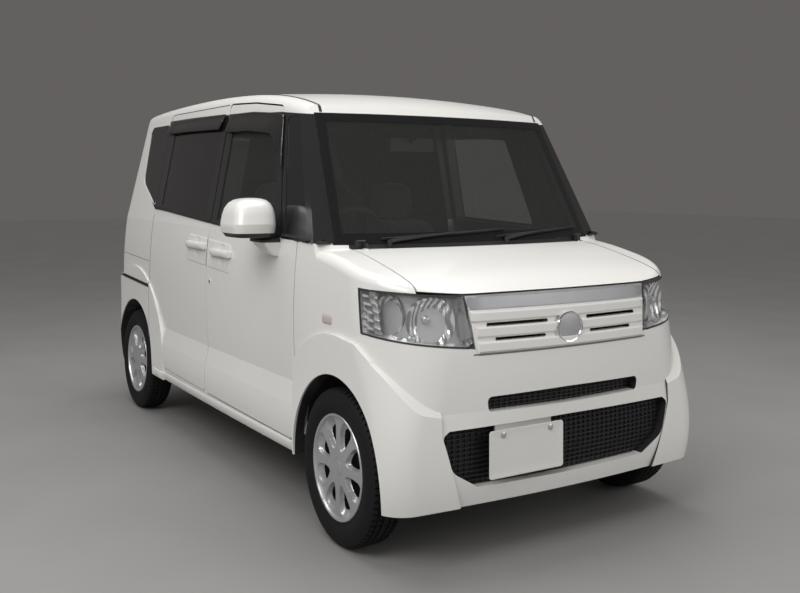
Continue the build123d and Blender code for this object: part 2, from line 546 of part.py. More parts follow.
beam = rod_y(REAR_AXLE_X + 140, 300, 38, -500, 500)
trailing = box(-1310, -892, -540, -492, 262, 316) + rod_y(REAR_AXLE_X, HUB_Z, SPINDLE_R, -684, -500)
spring = rod_z(-1180, -470, 52, 330, REAR_FLOOR_LOW_Z)
beam = beam + both_sides(trailing + spring + box(-1240, -1110, -520, -420, 300, 335))
beam = beam + both_sides(box(-925, -892, -540, -492, 262, REAR_FLOOR_LOW_Z))
parts["rear_axle_beam"] = beam
parts["fuel_tank"] = box(-420, 260, -380, 380, 182, SILL_LOW_Z)
silencer = Pos(-1500, 0, 300) * Rot(90, 0, 0) * Cylinder(70, 560)
pipe = rod((-1480, -200, 280), (-1540, -300, 180), 19) + rod((-1540, -300, 180), (-1690, -300, 178), 19)
front_pipe = rod((-1460, 200, 262), (-1180, 300, 230), 21) + rod((-1180, 300, 230), (-870, 440, 205), 21)
front_pipe = front_pipe + rod((-870, 440, 205), (940, 440, 205), 21)
hangers = both_sides(box(-1510, -1490, 120, 140, 360, REAR_FLOOR_LOW_Z))
parts["exhaust"] = silencer + pipe + front_pipe + hangers + box(200, 240, 430, 450, 220, SILL_LOW_Z)

# Cabin
dash_rows = [(566, 812, 40), (600, 700, 30), (905, 560, 0), (FENDER_X, 560, 0), (FENDER_X, 1040, 0),
             (700, 1052, 60), (580, 985, 60)]
dash_face = rounded_face(Plane.XZ.offset(-598), dash_rows)
dash = extrude(dash_face, amount=1196)
dash = dash & body_form(WALL + 25.0)
tilt = radians(STEER_TILT)
axis_way = (cos(tilt), -sin(tilt))
column_end = (STEER_X + 260 * axis_way[0], STEER_Y, STEER_Z + 260 * axis_way[1])
column_top = (STEER_X + 24 * axis_way[0], STEER_Y, STEER_Z + 24 * axis_way[1])
shaft_top = (STEER_X - 12 * axis_way[0], STEER_Y, STEER_Z - 12 * axis_way[1])
dash = dash + rod(column_top, column_end, 38)
dash = dash + rod(shaft_top, column_end, 12)
parts["dashboard"] = dash

steer_plane = Plane(origin=(STEER_X, STEER_Y, STEER_Z), x_dir=(0, 1, 0), z_dir=(-axis_way[0], 0, -axis_way[1]))
rim = steer_plane * Torus(STEER_RIM_R, 15)
hub_disc = steer_plane * Pos(0, 0, 5) * Cylinder(62, 30)
spokes = steer_plane * (Box(2 * STEER_RIM_R, 42, 14) + Pos(0, -STEER_RIM_R / 2, 0) * Box(40, STEER_RIM_R, 14))
wheel_ring = rim + hub_disc + (spokes & (steer_plane * Cylinder(STEER_RIM_R, 60)))
parts["steering_wheel"] = wheel_ring - rod(shaft_top, column_end, 12 + RUN_FIT) - rod(
    (STEER_X, STEER_Y, STEER_Z), shaft_top, 12 + RUN_FIT)


def seat(y, half, x, lean_x, cushion_l, low_z, top_z, head_half):
    """A seat: cushion, leaning back and headrest as one soft solid."""
    base = rounded_face(Plane.XZ.offset(-y - half), [
        (x + cushion_l, low_z, 30), (x + cushion_l + 20, low_z + 215, 60), (x + 110, low_z + 205, 60),
        (lean_x + 95, top_z, 50), (lean_x - 30, top_z, 50), (x - 80, low_z + 180, 60), (x - 60, low_z, 30)])
    body = extrude(base, amount=2 * half)
    head = rounded_face(Plane.XZ.offset(-y - head_half), [
        (lean_x + 80, top_z - 30, 0), (lean_x + 66, top_z + 190, 40), (lean_x - 34, top_z + 190, 40),
        (lean_x - 22, top_z - 30, 0)])
    return body + extrude(head, amount=2 * head_half)


front_seat = seat(-335, 255, 20, -165, 430, 340, 1130, 130)
front_legs = box(0, 400, -560, -110, FLOOR_TOP_Z, 345)
parts["front_seats"] = both_sides(front_seat + front_legs)
rear_bench = seat(-285, 255, -960, -1090, 400, REAR_FLOOR_TOP_Z, 1090, 120)
rear_legs = box(-870, -620, -500, -80, FLOOR_TOP_Z, 460)
parts["rear_seat"] = both_sides(rear_bench + rear_legs) & body_form(WALL + 20.0)

mirror_stem = rod((897, -78, 1566), (745, -78, 1500), 8)
parts["interior_mirror"] = box(700, 735, -190, 34, 1448, 1508) + mirror_stem + box(728, 760, -90, -66, 1488, 1512)
parts["interior_mirror"] = parts["interior_mirror"] & body_form(GLASS_T)

# Wipers lie on the glass foot: pivot y, tip y
wiper_rows = [(-430, 110), (110, 560)]
wipers = []
for y_pivot, y_tip in wiper_rows:
    arm_x = SCREEN_BASE_X - y_pivot ** 2 / (2 * SCREEN_R) + 6
    tip_x = SCREEN_BASE_X - y_tip ** 2 / (2 * SCREEN_R) - 34
    wipers.append(rod_z(arm_x, y_pivot, 12, 1040, 1086))
    wipers.append(rod((arm_x, y_pivot, 1082), (tip_x + 26, y_tip, 1126), 7))
parts["front_wipers"] = (wipers[0] + wipers[1] + wipers[2] + wipers[3]) - hull

# Door mirrors
mirror_rows = [(774, 1100, 30), (750, 1240, 45), (610, 1243, 40), (590, 1100, 30)]
mirror_face = rounded_face(Plane.XZ.offset(MIRROR_IN_Y), mirror_rows)
door_mirror = extrude(mirror_face, amount=MIRROR_OUT_Y - MIRROR_IN_Y)
mirror_edges = [e for e in door_mirror.edges() if abs(e.center().Y + MIRROR_OUT_Y) < 1]
door_mirror = door_mirror.fillet(28, mirror_edges)
foot = box(598, 753, -800, -690, 1010, 1070) + box(628, 728, -840, -MIRROR_IN_Y, 1040, 1110)
door_mirror = (door_mirror + foot) - inner_panel
door_mirror = door_mirror - parts["front_door_right"] - front_door_glass - outer
parts["door_mirror_right"] = door_mirror
parts["door_mirror_left"] = left_of(door_mirror)

# Wheels, drawn with the outer face towards the right
tyre_half = TYRE_W / 2
tyre_rows = [(RIM_R, 58), (206, 68), (232, tyre_half), (252, 70), (266, 62), (276, 53), (TYRE_R, 42)]
with BuildSketch(Plane.XY) as tyre_face:
    with BuildLine():
        Polyline(*tyre_rows, *[(r, -out) for r, out in reversed(tyre_rows)], close=True)
    make_face()
tyre = revolve(tyre_face.sketch, axis=Axis.Y)
bore_r = SPINDLE_R + RUN_FIT
wheel_rows = [(bore_r, 24), (bore_r, -34), (0, -34), (0, -60), (60, -61), (120, -58), (164, -53), (168, -60),
              (RIM_R, -60), (RIM_R, 58), (168, 58), (160, 20), (150, -20), (120, -34), (90, -34), (88, 14),
              (118, 14), (118, 24)]
with BuildSketch(Plane.XY) as wheel_face:
    with BuildLine():
        Polyline(*wheel_rows, close=True)
    make_face()
wheel = revolve(wheel_face.sketch, axis=Axis.Y)
for index in range(8):
    opening = Rot(0, 45 * index + 22.5, 0) * (Pos(138, -50, 0) * Box(44, 24, 34))
    wheel = wheel - opening
WHEELS = [("front", FRONT_AXLE_X), ("rear", REAR_AXLE_X)]
for name, axle_x in WHEELS:
    parts["tyre_" + name + "_right"] = Pos(axle_x, -WHEEL_Y, HUB_Z) * tyre
    parts["wheel_" + name + "_right"] = Pos(axle_x, -WHEEL_Y, HUB_Z) * wheel
    parts["tyre_" + name + "_left"] = left_of(Pos(axle_x, -WHEEL_Y, HUB_Z) * tyre)
    parts["wheel_" + name + "_left"] = left_of(Pos(axle_x, -WHEEL_Y, HUB_Z) * wheel)

for name, shape in parts.items():
    print(name, len(shape.solids()), round(shape.volume / 1e6, 3), shape.is_valid)
    export_step(shape, "parts/" + name + ".step")
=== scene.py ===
from math import cos, exp, hypot, pi, radians, sin, sqrt

import bmesh
import bpy
from mathutils import Matrix, Vector
from mathutils.bvhtree import BVHTree


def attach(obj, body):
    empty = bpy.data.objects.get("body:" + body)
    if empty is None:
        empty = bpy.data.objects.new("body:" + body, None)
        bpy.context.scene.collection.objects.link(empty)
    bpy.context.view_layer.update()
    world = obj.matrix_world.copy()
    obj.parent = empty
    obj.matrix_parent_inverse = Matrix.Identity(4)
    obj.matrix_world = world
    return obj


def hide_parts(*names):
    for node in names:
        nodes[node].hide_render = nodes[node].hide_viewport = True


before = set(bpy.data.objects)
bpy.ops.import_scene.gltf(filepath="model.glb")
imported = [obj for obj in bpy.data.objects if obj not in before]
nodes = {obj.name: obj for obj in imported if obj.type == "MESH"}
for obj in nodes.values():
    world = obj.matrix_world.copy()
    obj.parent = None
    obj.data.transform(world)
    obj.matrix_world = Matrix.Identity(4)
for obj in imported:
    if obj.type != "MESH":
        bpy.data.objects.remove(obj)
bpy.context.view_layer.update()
scene = bpy.context.scene

# Places on the car, in metres, the same as the solids
FRONT_AXLE_X = 1.2555
REAR_AXLE_X = -1.2645
HUB_Z = 0.281
WHEEL_Y = 0.6525
RIM_R = 0.182
SHELL = "body_shell"
RIGHT, LEFT = -1, 1
SIDE_NAMES = {RIGHT: "right", LEFT: "left"}
FORWARD, ACROSS, UP = Vector((1, 0, 0)), Vector((0, 1, 0)), Vector((0, 0, 1))

# Lines along the side: x, z
BELT_LINE = [(-0.984, 1.159), (-0.831, 1.155), (0.068, 1.106), (0.681, 1.087), (1.095, 1.073)]
RAIL_LINE = [(-1.05, 1.640), (-0.192, 1.640), (0.547, 1.613), (0.800, 1.590), (1.2, 1.560)]
BAND_REAR_X = -1.010
CEILING_Z = 1.45
ARCHES = [(FRONT_AXLE_X, 0.3335), (REAR_AXLE_X, 0.3465)]
ARCH_LIP_Y = 0.727
FACET_SCALE = 16.0
# Bonnet hinge lugs, painted dark: middle and half size along x, across and up
LUG_X, LUG_Y, LUG_Z = (1.126, 0.024), (0.536, 0.008), (1.080, 0.024)

# Tail lamp's bands: middle height and half height
CLEAR_BAND = (0.736, 0.036)
AMBER_BAND = (0.819, 0.041)

# Colours
WHITE_LOW, WHITE_HIGH = (0.775, 0.760, 0.730), (0.800, 0.788, 0.762)
BAND_BLACK = (0.011, 0.011, 0.012)
INSIDE_GREY = (0.03, 0.03, 0.032)
LENS_REDS = (0.30, 0.008, 0.010), (0.38, 0.012, 0.014)
LENS_CLEAR, LENS_AMBER = (0.62, 0.62, 0.62), (0.55, 0.17, 0.02)

# Photograph's frame and camera
IMAGE_W = 800
FOCAL_PX = 952.0
CENTRE_SHIFT = (-0.03725, -0.17375)
CAMERA_AT = (4.344, -2.319, 1.306)
CAMERA_RIGHT = (0.5432, 0.8396, 0.0045)
CAMERA_FORWARD = (-0.8394, 0.5429, 0.0273)
SENSOR = 36.0


# Materials
def colour(r, g, b):
    """A colour as a shader socket takes it."""
    return (r, g, b, 1.0)


def node_tree(name):
    """A new material with its Principled shader."""
    mat = bpy.data.materials.new(name)
    mat.use_nodes = True
    tree = mat.node_tree
    return mat, tree, tree.nodes["Principled BSDF"]


def dress(tree, shader, looks):
    """Sets a shader's inputs to numbers, or links them to sockets."""
    for name, value in looks.items():
        if isinstance(value, (int, float)):
            shader.inputs[name].default_value = value
        else:
            tree.links.new(value, shader.inputs[name])


def noise_socket(tree, scale, detail):
    """Object-space noise."""
    coords = tree.nodes.new("ShaderNodeTexCoord")
    noise = tree.nodes.new("ShaderNodeTexNoise")
    dress(tree, noise, {"Scale": scale, "Detail": detail, "Vector": coords.outputs["Object"]})
    return noise.outputs["Fac"]


def waves(tree, axis, scale, distortion=0.0, detail=2.0):
    """Object-space bands across an axis."""
    coords = tree.nodes.new("ShaderNodeTexCoord")
    bands = tree.nodes.new("ShaderNodeTexWave")
    bands.bands_direction = axis
    dress(tree, bands, {"Scale": scale, "Distortion": distortion, "Detail": detail,
                        "Vector": coords.outputs["Object"]})
    return bands.outputs["Fac"]


def split(tree, kind):
    """The three parts of a place or a direction."""
    coords = tree.nodes.new("ShaderNodeTexCoord")
    node = tree.nodes.new("ShaderNodeSeparateXYZ")
    tree.links.new(coords.outputs[kind], node.inputs[0])
    return node.outputs


def ramp(tree, socket, low, high, start=0.3, end=0.7):
    """Maps a value onto two colours."""
    node = tree.nodes.new("ShaderNodeValToRGB")
    for element, place, tint in zip(node.color_ramp.elements, (start, end), (low, high)):
        element.position = place
        element.color = tint
    tree.links.new(socket, node.inputs["Fac"])
    return node.outputs["Color"]


def tinted(tree, socket, tint, share, start=0.3, end=0.7):
    """A tint that a value darkens to a share of itself."""
    return ramp(tree, socket, colour(*[share * part for part in tint]), colour(*tint), start, end)


def spread(tree, socket, low, high):
    """Maps a value onto a range of numbers."""
    node = tree.nodes.new("ShaderNodeMapRange")
    dress(tree, node, {"From Min": 0.3, "From Max": 0.7, "To Min": low, "To Max": high, "Value": socket})
    return node.outputs["Result"]


def bump(tree, shader, socket, strength, distance):
    """Raises the surface by a value."""
    node = tree.nodes.new("ShaderNodeBump")
    dress(tree, node, {"Strength": strength, "Distance": distance, "Height": socket})
    tree.links.new(node.outputs["Normal"], shader.inputs["Normal"])


def sum_node(tree, operation, first, second=0.0):
    """One arithmetic step between sockets or numbers."""
    node = tree.nodes.new("ShaderNodeMath")
    node.operation = operation
    for slot, value in zip(node.inputs, (first, second)):
        if isinstance(value, (int, float)):
            slot.default_value = value
        else:
            tree.links.new(value, slot)
    return node.outputs[0]


def all_of(tree, *masks):
    """The places where every mask is 1."""
    out = masks[0]
    for mask in masks[1:]:
        out = sum_node(tree, "MULTIPLY", out, mask)
    return out


def above(tree, socket, level):
    """1 where a value is over a level."""
    return sum_node(tree, "GREATER_THAN", socket, level)


def below(tree, socket, level):
    """1 where a value is under a level."""
    return sum_node(tree, "LESS_THAN", socket, level)


def near(tree, socket, span):
    """1 within a half width of a middle value."""
    return below(tree, sum_node(tree, "ABSOLUTE", sum_node(tree, "SUBTRACT", socket, span[0])), span[1])


def mixed(tree, mask, low, high):
    """One colour or another by a mask; each is a socket or a colour."""
    node = tree.nodes.new("ShaderNodeMix")
    node.data_type = "RGBA"
    tree.links.new(mask, node.inputs["Factor"])
    for slot, value in ((node.inputs["A"], low), (node.inputs["B"], high)):
        if isinstance(value, tuple):
            slot.default_value = value
        else:
            tree.links.new(value, slot)
    return node.outputs["Result"]


def line_height(tree, along, line):
    """The height of a line of straight runs at a place along it."""
    node = tree.nodes.new("ShaderNodeFloatCurve")
    curve = node.mapping.curves[0]
    first, last = line[0][0], line[-1][0]
    places = [((x - first) / (last - first), z - 1.0) for x, z in line]
    curve.points[0].location = places[0]
    curve.points[1].location = places[-1]
    for place in places[1:-1]:
        curve.points.new(*place)
    for point in curve.points:
        point.handle_type = "VECTOR"
    node.mapping.update()
    share = sum_node(tree, "DIVIDE", sum_node(tree, "SUBTRACT", along, first), last - first)
    tree.links.new(share, node.inputs["Value"])
    return sum_node(tree, "ADD", node.outputs["Value"], 1.0)


def arch_mask(tree, place, way, axle_x, reach):
    """The inner face of a wheel arch, behind its lip."""
    along = sum_node(tree, "SUBTRACT", place[0], axle_x)
    height = sum_node(tree, "SUBTRACT", place[2], HUB_Z)
    square = sum_node(tree, "ADD", all_of(tree, along, along), all_of(tree, height, height))
    edge_on = below(tree, sum_node(tree, "ABSOLUTE", way[1]), 0.55)
    behind = below(tree, sum_node(tree, "ABSOLUTE", place[1]), ARCH_LIP_Y)
    return all_of(tree, below(tree, square, reach ** 2), edge_on, behind)


def pearl(name):
    """A pearl paint's material, tree and shader, and its white."""
    mat, tree, shader = node_tree(name)
    flake = noise_socket(tree, 900.0, 2.0)
    dress(tree, shader, {"Roughness": spread(tree, flake, 0.28, 0.36), "Coat Weight": 0.6,
                         "Coat Roughness": 0.03})
    return mat, tree, shader, ramp(tree, flake, colour(*WHITE_LOW), colour(*WHITE_HIGH))


def body_paint():
    """Pearl white, with the black window band on the sides and dark trim on the inner faces."""
    mat, tree, shader, white = pearl("pearl_paint")
    place = split(tree, "Object")
    way = split(tree, "Normal")
    x, y, z = place
    band = all_of(tree, above(tree, z, line_height(tree, x, BELT_LINE)),
                  below(tree, z, line_height(tree, x, RAIL_LINE)), above(tree, x, BAND_REAR_X))
    outward = all_of(tree, sum_node(tree, "SIGN", y), way[1])
    off_middle = sum_node(tree, "ABSOLUTE", y)
    dark = [below(tree, outward, -0.35), all_of(tree, below(tree, way[2], -0.3), above(tree, z, CEILING_Z)),
            all_of(tree, near(tree, x, LUG_X), near(tree, off_middle, LUG_Y), near(tree, z, LUG_Z))]
    dark += [arch_mask(tree, place, way, axle_x, reach) for axle_x, reach in ARCHES]
    inside = dark[0]
    for mask in dark[1:]:
        inside = sum_node(tree, "MAXIMUM", inside, mask)
    outer = mixed(tree, band, white, colour(*BAND_BLACK))
    dress(tree, shader, {"Base Color": mixed(tree, inside, outer, colour(*INSIDE_GREY))})
    return mat


def plain_paint():
    """The same pearl white with no band, for what is added."""
    mat, tree, shader, white = pearl("pearl_trim")
    dress(tree, shader, {"Base Color": white})
    return mat


def plastic(name, tint, rough, grain=600.0, height=0.0004, shine=0.5):
    """Moulded plastic with a fine grain."""
    mat, tree, shader = node_tree(name)
    fine = noise_socket(tree, grain, 3.0)
    dress(tree, shader, {"Base Color": tinted(tree, fine, tint, 0.85), "Specular IOR Level": shine,
                         "Roughness": spread(tree, fine, rough - 0.06, rough + 0.06)})
    bump(tree, shader, fine, 0.25, height)
    return mat


def glass(name, tint, alpha, rough=0.02):
    """Thin car glass: a tinted see-through film under a gloss."""
    mat, tree, shader = node_tree(name)
    haze = noise_socket(tree, 3.0, 2.0)
    dress(tree, shader, {"Base Color": tinted(tree, haze, tint, 0.94), "Roughness": rough, "Alpha": alpha,
                         "Coat Weight": 0.5, "Coat Roughness": 0.01})
    return mat


def metal(name, tint, rough, metallic=1.0):
    """Bare, plated or painted metal with a slight variation in gloss."""
    mat, tree, shader = node_tree(name)
    haze = noise_socket(tree, 14.0, 2.0)
    dress(tree, shader, {"Base Color": tinted(tree, haze, tint, 0.96), "Metallic": metallic,
                         "Roughness": spread(tree, haze, max(rough - 0.02, 0.01), rough + 0.02)})
    return mat


def plating_with_painted_glints(name, dark, pale):
    """Bright plating pressed in upright facets, with painted reflections: its colour runs in darker and
    paler bands as the facets would catch the light.
    """
    mat, tree, shader = node_tree(name)
    facets = waves(tree, "Y", FACET_SCALE, 2.5, 1.0)
    # Painted reflections: the facet bands darken and lighten the plating's colour
    look = ramp(tree, facets, colour(dark, dark, dark), colour(pale, pale, pale))
    dress(tree, shader, {"Base Color": look, "Roughness": 0.12, "Metallic": 0.6})
    bump(tree, shader, facets, 0.5, 0.003)
    return mat


def cloth(name, tint, scale):
    """Woven cloth: crossed threads raised by two sets of waves, with a soft sheen."""
    mat, tree, shader = node_tree(name)
    weave = all_of(tree, waves(tree, "X", scale, 0.6), waves(tree, "Z", scale, 0.6))
    dress(tree, shader, {"Base Color": tinted(tree, weave, tint, 0.6, 0.1, 0.8), "Roughness": 0.92,
                         "Sheen Weight": 0.35})
    bump(tree, shader, weave, 0.4, 0.0006)
    return mat


def tail_lens():
    """Lamp lens in bands by height: clear below, amber, then red, with fine ribs."""
    mat, tree, shader = node_tree("tail_lens")
    z = split(tree, "Object")[2]
    grain = noise_socket(tree, 30.0, 2.0)
    red = ramp(tree, grain, colour(*LENS_REDS[0]), colour(*LENS_REDS[1]))
    look = mixed(tree, near(tree, z, CLEAR_BAND), red, colour(*LENS_CLEAR))
    look = mixed(tree, near(tree, z, AMBER_BAND), look, colour(*LENS_AMBER))
    dress(tree, shader, {"Base Color": look, "Roughness": spread(tree, grain, 0.10, 0.14),
                         "Coat Weight": 0.6})
    bump(tree, shader, waves(tree, "Z", 40.0), 0.35, 0.002)
    return mat


PAINT = body_paint()
TRIM_PAINT = plain_paint()
BLACK_GLOSS = plastic("gloss_black", (0.012, 0.012, 0.013), 0.16, 80.0, 0.00002)
BLACK_SATIN = plastic("satin_black", (0.02, 0.02, 0.021), 0.45)
BLACK_MATTE = plastic("matte_black", (0.016, 0.016, 0.016), 0.7)
# Near-black painted shade for the sheets across the wheel covers' openings
PAINTED_HOLE_SHADE = plastic("painted_hole_shade", (0.004, 0.004, 0.004), 0.9, shine=0.05)
# Grey for the seam lines, and for the painted shadow under the grille
SEAM_AND_SHADOW_GREY = plastic("seam_and_shadow_grey", (0.20, 0.195, 0.185), 0.6)
GASKET = plastic("lamp_gasket", (0.040, 0.040, 0.042), 0.4)
CHROME = metal("bright_chrome", (0.88, 0.88, 0.89), 0.08)
# Headlamp chrome with painted reflections in bands
LAMP_CHROME = plating_with_painted_glints("lamp_chrome", 0.34, 0.97)
LAMP_SHADE = metal("lamp_shade", (0.60, 0.60, 0.61), 0.20, 0.55)
SATIN_CHROME = metal("satin_chrome", (0.56, 0.565, 0.585), 0.32, 0.7)
SILVER = metal("silver_paint", (0.45, 0.45, 0.455), 0.33, 0.5)
STEEL = metal("bare_steel", (0.35, 0.34, 0.33), 0.45)
CHASSIS = plastic("black_wax", (0.025, 0.025, 0.025), 0.55, 60.0, 0.001)
RUBBER = plastic("tyre_rubber", (0.011, 0.011, 0.0115), 0.72, 300.0, 0.0004, 0.22)
CLEAR_GLASS = glass("clear_glass", (0.050, 0.054, 0.050), 0.30)
DARK_GLASS = glass("privacy_glass", (0.010, 0.010, 0.011), 0.93)
SMOKED = glass("smoked_visor", (0.022, 0.021, 0.021), 0.80, 0.12)
LENS = glass("lamp_lens", (0.62, 0.64, 0.66), 0.09)
PLATE = plastic("blank_plate", (0.78, 0.77, 0.74), 0.35, 2500.0, 0.00001)
MARKER = plastic("marker_lens", (0.56, 0.50, 0.48), 0.15, 60.0, 0.0001)
CLOTH = cloth("seat_cloth", (0.075, 0.073, 0.072), 260.0)
DASH = plastic("dash_grain", (0.035, 0.035, 0.037), 0.6, 700.0, 0.0006)
GRIP = plastic("wheel_grip", (0.025, 0.025, 0.026), 0.5, 500.0, 0.0006)
RED_LENS = tail_lens()
MIRROR_GLASS = metal("mirror_glass", (0.75, 0.77, 0.78), 0.03)

SLOT_LOOKS = {
    "paint": [PAINT, TRIM_PAINT, PLATE], "bright_trim": [CHROME, LAMP_CHROME, LAMP_SHADE, SATIN_CHROME],
    "black_plastic": [BLACK_GLOSS, BLACK_SATIN, BLACK_MATTE, PAINTED_HOLE_SHADE, SEAM_AND_SHADOW_GREY, GASKET],
    "wheel_silver": [SILVER], "steel": [STEEL], "chassis_steel": [CHASSIS], "tyre_rubber": [RUBBER],
    "clear_glass": [CLEAR_GLASS], "dark_glass": [DARK_GLASS, SMOKED], "lamp_lens": [LENS, MARKER],
    "seat_cloth": [CLOTH], "dash_plastic": [DASH], "grip": [GRIP], "red_lens": [RED_LENS],
    "mirror_glass": [MIRROR_GLASS],
}
SLOTS = {look: slot for slot, looks in SLOT_LOOKS.items() for look in looks}
NODE_LOOKS = {
    "windscreen": CLEAR_GLASS, "front_door_glass_right": CLEAR_GLASS, "front_door_glass_left": CLEAR_GLASS,
    "fixed_side_glass": DARK_GLASS, "tailgate_glass": DARK_GLASS, "cowl_panel": BLACK_SATIN,
    "intake_mesh": BLACK_MATTE, "headlamps": CHROME, "grille_bar": SATIN_CHROME, "tail_lamps": RED_LENS,
    "floor_pan": CHASSIS, "wheelhouses": BLACK_MATTE, "engine": CHASSIS, "front_subframe": CHASSIS,
    "rear_axle_beam": CHASSIS, "fuel_tank": CHASSIS, "exhaust": STEEL, "dashboard": DASH,
    "front_seats": CLOTH, "rear_seat": CLOTH, "interior_mirror": BLACK_SATIN, "front_wipers": BLACK_SATIN,
    "steering_wheel": GRIP, "front_knuckle_right": CHASSIS, "front_knuckle_left": CHASSIS,
}
for name, obj in nodes.items():
    look = NODE_LOOKS.get(name, PAINT)
    if name.startswith("tyre_"):
        look = RUBBER
    elif name.startswith("wheel_"):
        look = SILVER
    obj.data.materials.clear()
    obj.data.materials.append(look)


# Mesh helpers
def add_piece(name, verts, faces, look, body, smooth=40.0, picks=None, more_looks=()):
    """A piece from vertices and faces, shaded smooth up to an angle, riding on a body."""
    mesh = bpy.data.meshes.new(name)
    mesh.from_pydata([tuple(v) for v in verts], [], faces)
    for mat in (look,) + tuple(more_looks):
        mesh.materials.append(mat)
    if picks:
        for poly, pick in zip(mesh.polygons, picks):
            poly.material_index = pick
    build = bmesh.new()
    build.from_mesh(mesh)
    bmesh.ops.remove_doubles(build, verts=build.verts, dist=0.00002)
    bmesh.ops.recalc_face_normals(build, faces=build.faces)
    build.to_mesh(mesh)
    build.free()
    mesh.shade_smooth()
    mesh.set_sharp_from_angle(angle=radians(smooth))
    obj = bpy.data.objects.new(name, mesh)
    scene.collection.objects.link(obj)
    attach(obj, body)
    return obj


def quads(rows, columns, wrap_rows=False, wrap_columns=False, base=0):
    """Faces of a grid of points kept row by row."""
    faces = []
    for i in range(rows if wrap_rows else rows - 1):
        here, there = base + i * columns, base + (i + 1) % rows * columns
        for j in range(columns if wrap_columns else columns - 1):
            beside = (j + 1) % columns
            faces.append((here + j, here + beside, there + beside, there + j))
    return faces


def skin(sections):
    """Points and faces over sections of equal length, each a closed loop."""
    verts = [point for section in sections for point in section]
    return verts, quads(len(sections), len(sections[0]), wrap_columns=True)


def first_cap(columns):
    """The face that closes the first section."""
    return tuple(range(columns - 1, -1, -1))


def last_cap(verts, columns):
    """The face that closes the last section."""
    return tuple(range(len(verts) - columns, len(verts)))


def loft_piece(name, sections, look, body, smooth=40.0, closed=False):
    """A skin over sections; the ends are capped unless the sections run round to the first one."""
    columns = len(sections[0])
    verts, faces = skin(sections)
    if closed:
        faces = quads(len(sections), columns, wrap_rows=True, wrap_columns=True)
    else:
        faces += [first_cap(columns), last_cap(verts, columns)]
    return add_piece(name, verts, faces, look, body, smooth)


def join_parts(parts):
    """Several (vertices, faces) sets as one."""
    verts, faces = [], []
    for some, polys in parts:
        base = len(verts)
        verts += some
        faces += [tuple(base + i for i in poly) for poly in polys]
    return verts, faces


def turned(centre, across, rise, out, profile, steps):
    """A round form: each ring of the profile is a share of the radius and of the way out."""
    turns = [2 * pi * j / steps for j in range(steps)]
    rings = []
    for share, height in profile:
        rings.append([centre + across * (share * cos(a)) + rise * (share * sin(a)) + out * height
                      for a in turns])
    return skin(rings)


def add_parts(name, parts, look, body, smooth=40.0):
    """A piece from several (vertices, faces) sets."""
    verts, faces = join_parts(parts)
    return add_piece(name, verts, faces, look, body, smooth)


def box_corners(half_a, half_b, radius):
    """The corners of a rectangle about the origin, each with its radius."""
    return [(a * half_a, b * half_b, radius) for a, b in ((1, 1), (-1, 1), (-1, -1), (1, -1))]


def between(line, x):
    """The height of a line of straight runs at x, for runs in either direction."""
    runs = sorted(line)
    if x <= runs[0][0]:
        return runs[0][1]
    for (x0, z0), (x1, z1) in zip(runs, runs[1:]):
        if x <= x1:
            return z0 + (z1 - z0) * (x - x0) / (x1 - x0)
    return runs[-1][1]


def smooth_step(low, high, value):
    """0 below low, 1 above high, smooth between."""
    t = min(max((value - low) / (high - low), 0.0), 1.0)
    return t * t * (3 - 2 * t)


def surface(*names):
    """The joined surface of some solids, for ray casting."""
    parts = []
    for name in names:
        mesh = nodes[name].data
        points = [v.co.copy() for v in mesh.vertices]
        parts.append((points, [tuple(poly.vertices) for poly in mesh.polygons]))
    return BVHTree.FromPolygons(*join_parts(parts))


SIDE_SKIN = surface("body_side_right", "front_door_right", "sliding_door_right", "front_fender_right",
                    "front_bumper", "rear_bumper", "front_door_glass_right", "fixed_side_glass",
                    "tail_lamps")
FRONT_SKIN = surface("front_bumper", "grille", "grille_bar", "bonnet", "headlamps", "front_fender_right")
TAIL_SKIN = surface("tailgate", "rear_bumper", "tail_lamps", "tailgate_glass", "body_side_right")
MESH_SKIN = surface("intake_mesh")
GAP_STEPS = (0.0, 0.008, -0.008, 0.016, -0.016, 0.03, -0.03)
FAR = 3.0


def side_y(x, z):
    """How far out the right-hand side is at a place seen from the side; gaps in it are stepped over."""
    best = 0.0
    for step in GAP_STEPS:
        hit = SIDE_SKIN.ray_cast(Vector((x + step, -2.0, z)), ACROSS)[0]
        if hit is not None:
            if step == 0.0 and hit.y < -0.55:
                best = -hit.y
                break
            best = max(best, -hit.y)
    return best


def on_side(side, x, z, proud):
    """A point on the skin seen from the side, standing proud by a distance."""
    return Vector((x, side * (side_y(x, z) + proud), z))


def seen_x(tree, end, y, z, missing):
    """Where a ray along X from the front (1) or the back (-1) meets a surface."""
    hit = tree.ray_cast(Vector((end * FAR, y, z)), FORWARD * -end)[0]
    return hit.x if hit is not None else missing


def front_x(y, z):
    """How far forward the nose is at a place seen from the front."""
    return seen_x(FRONT_SKIN, 1, -abs(y), z, 1.6)


def tail_x(y, z):
    """How far back the tail is at a place seen from behind."""
    return seen_x(TAIL_SKIN, -1, -abs(y), z, -1.68)


def spaced(points, step):
    """Points along straight runs, no further apart than a step."""
    out = [points[0]]
    for (a0, b0), (a1, b1) in zip(points, points[1:]):
        count = max(1, int(hypot(a1 - a0, b1 - b0) / step + 0.999))
        out += [(a0 + (a1 - a0) * i / count, b0 + (b1 - b0) * i / count) for i in range(1, count + 1)]
    return out


def with_across(points):
    """Each point of a flat line, with the direction across the line there."""
    out = []
    for index, here in enumerate(points):
        a0, b0 = points[max(index - 1, 0)]
        a1, b1 = points[min(index + 1, len(points) - 1)]
        along = Vector((a1 - a0, b1 - b0)).normalized()
        out.append((here, Vector((-along.y, along.x))))
    return out


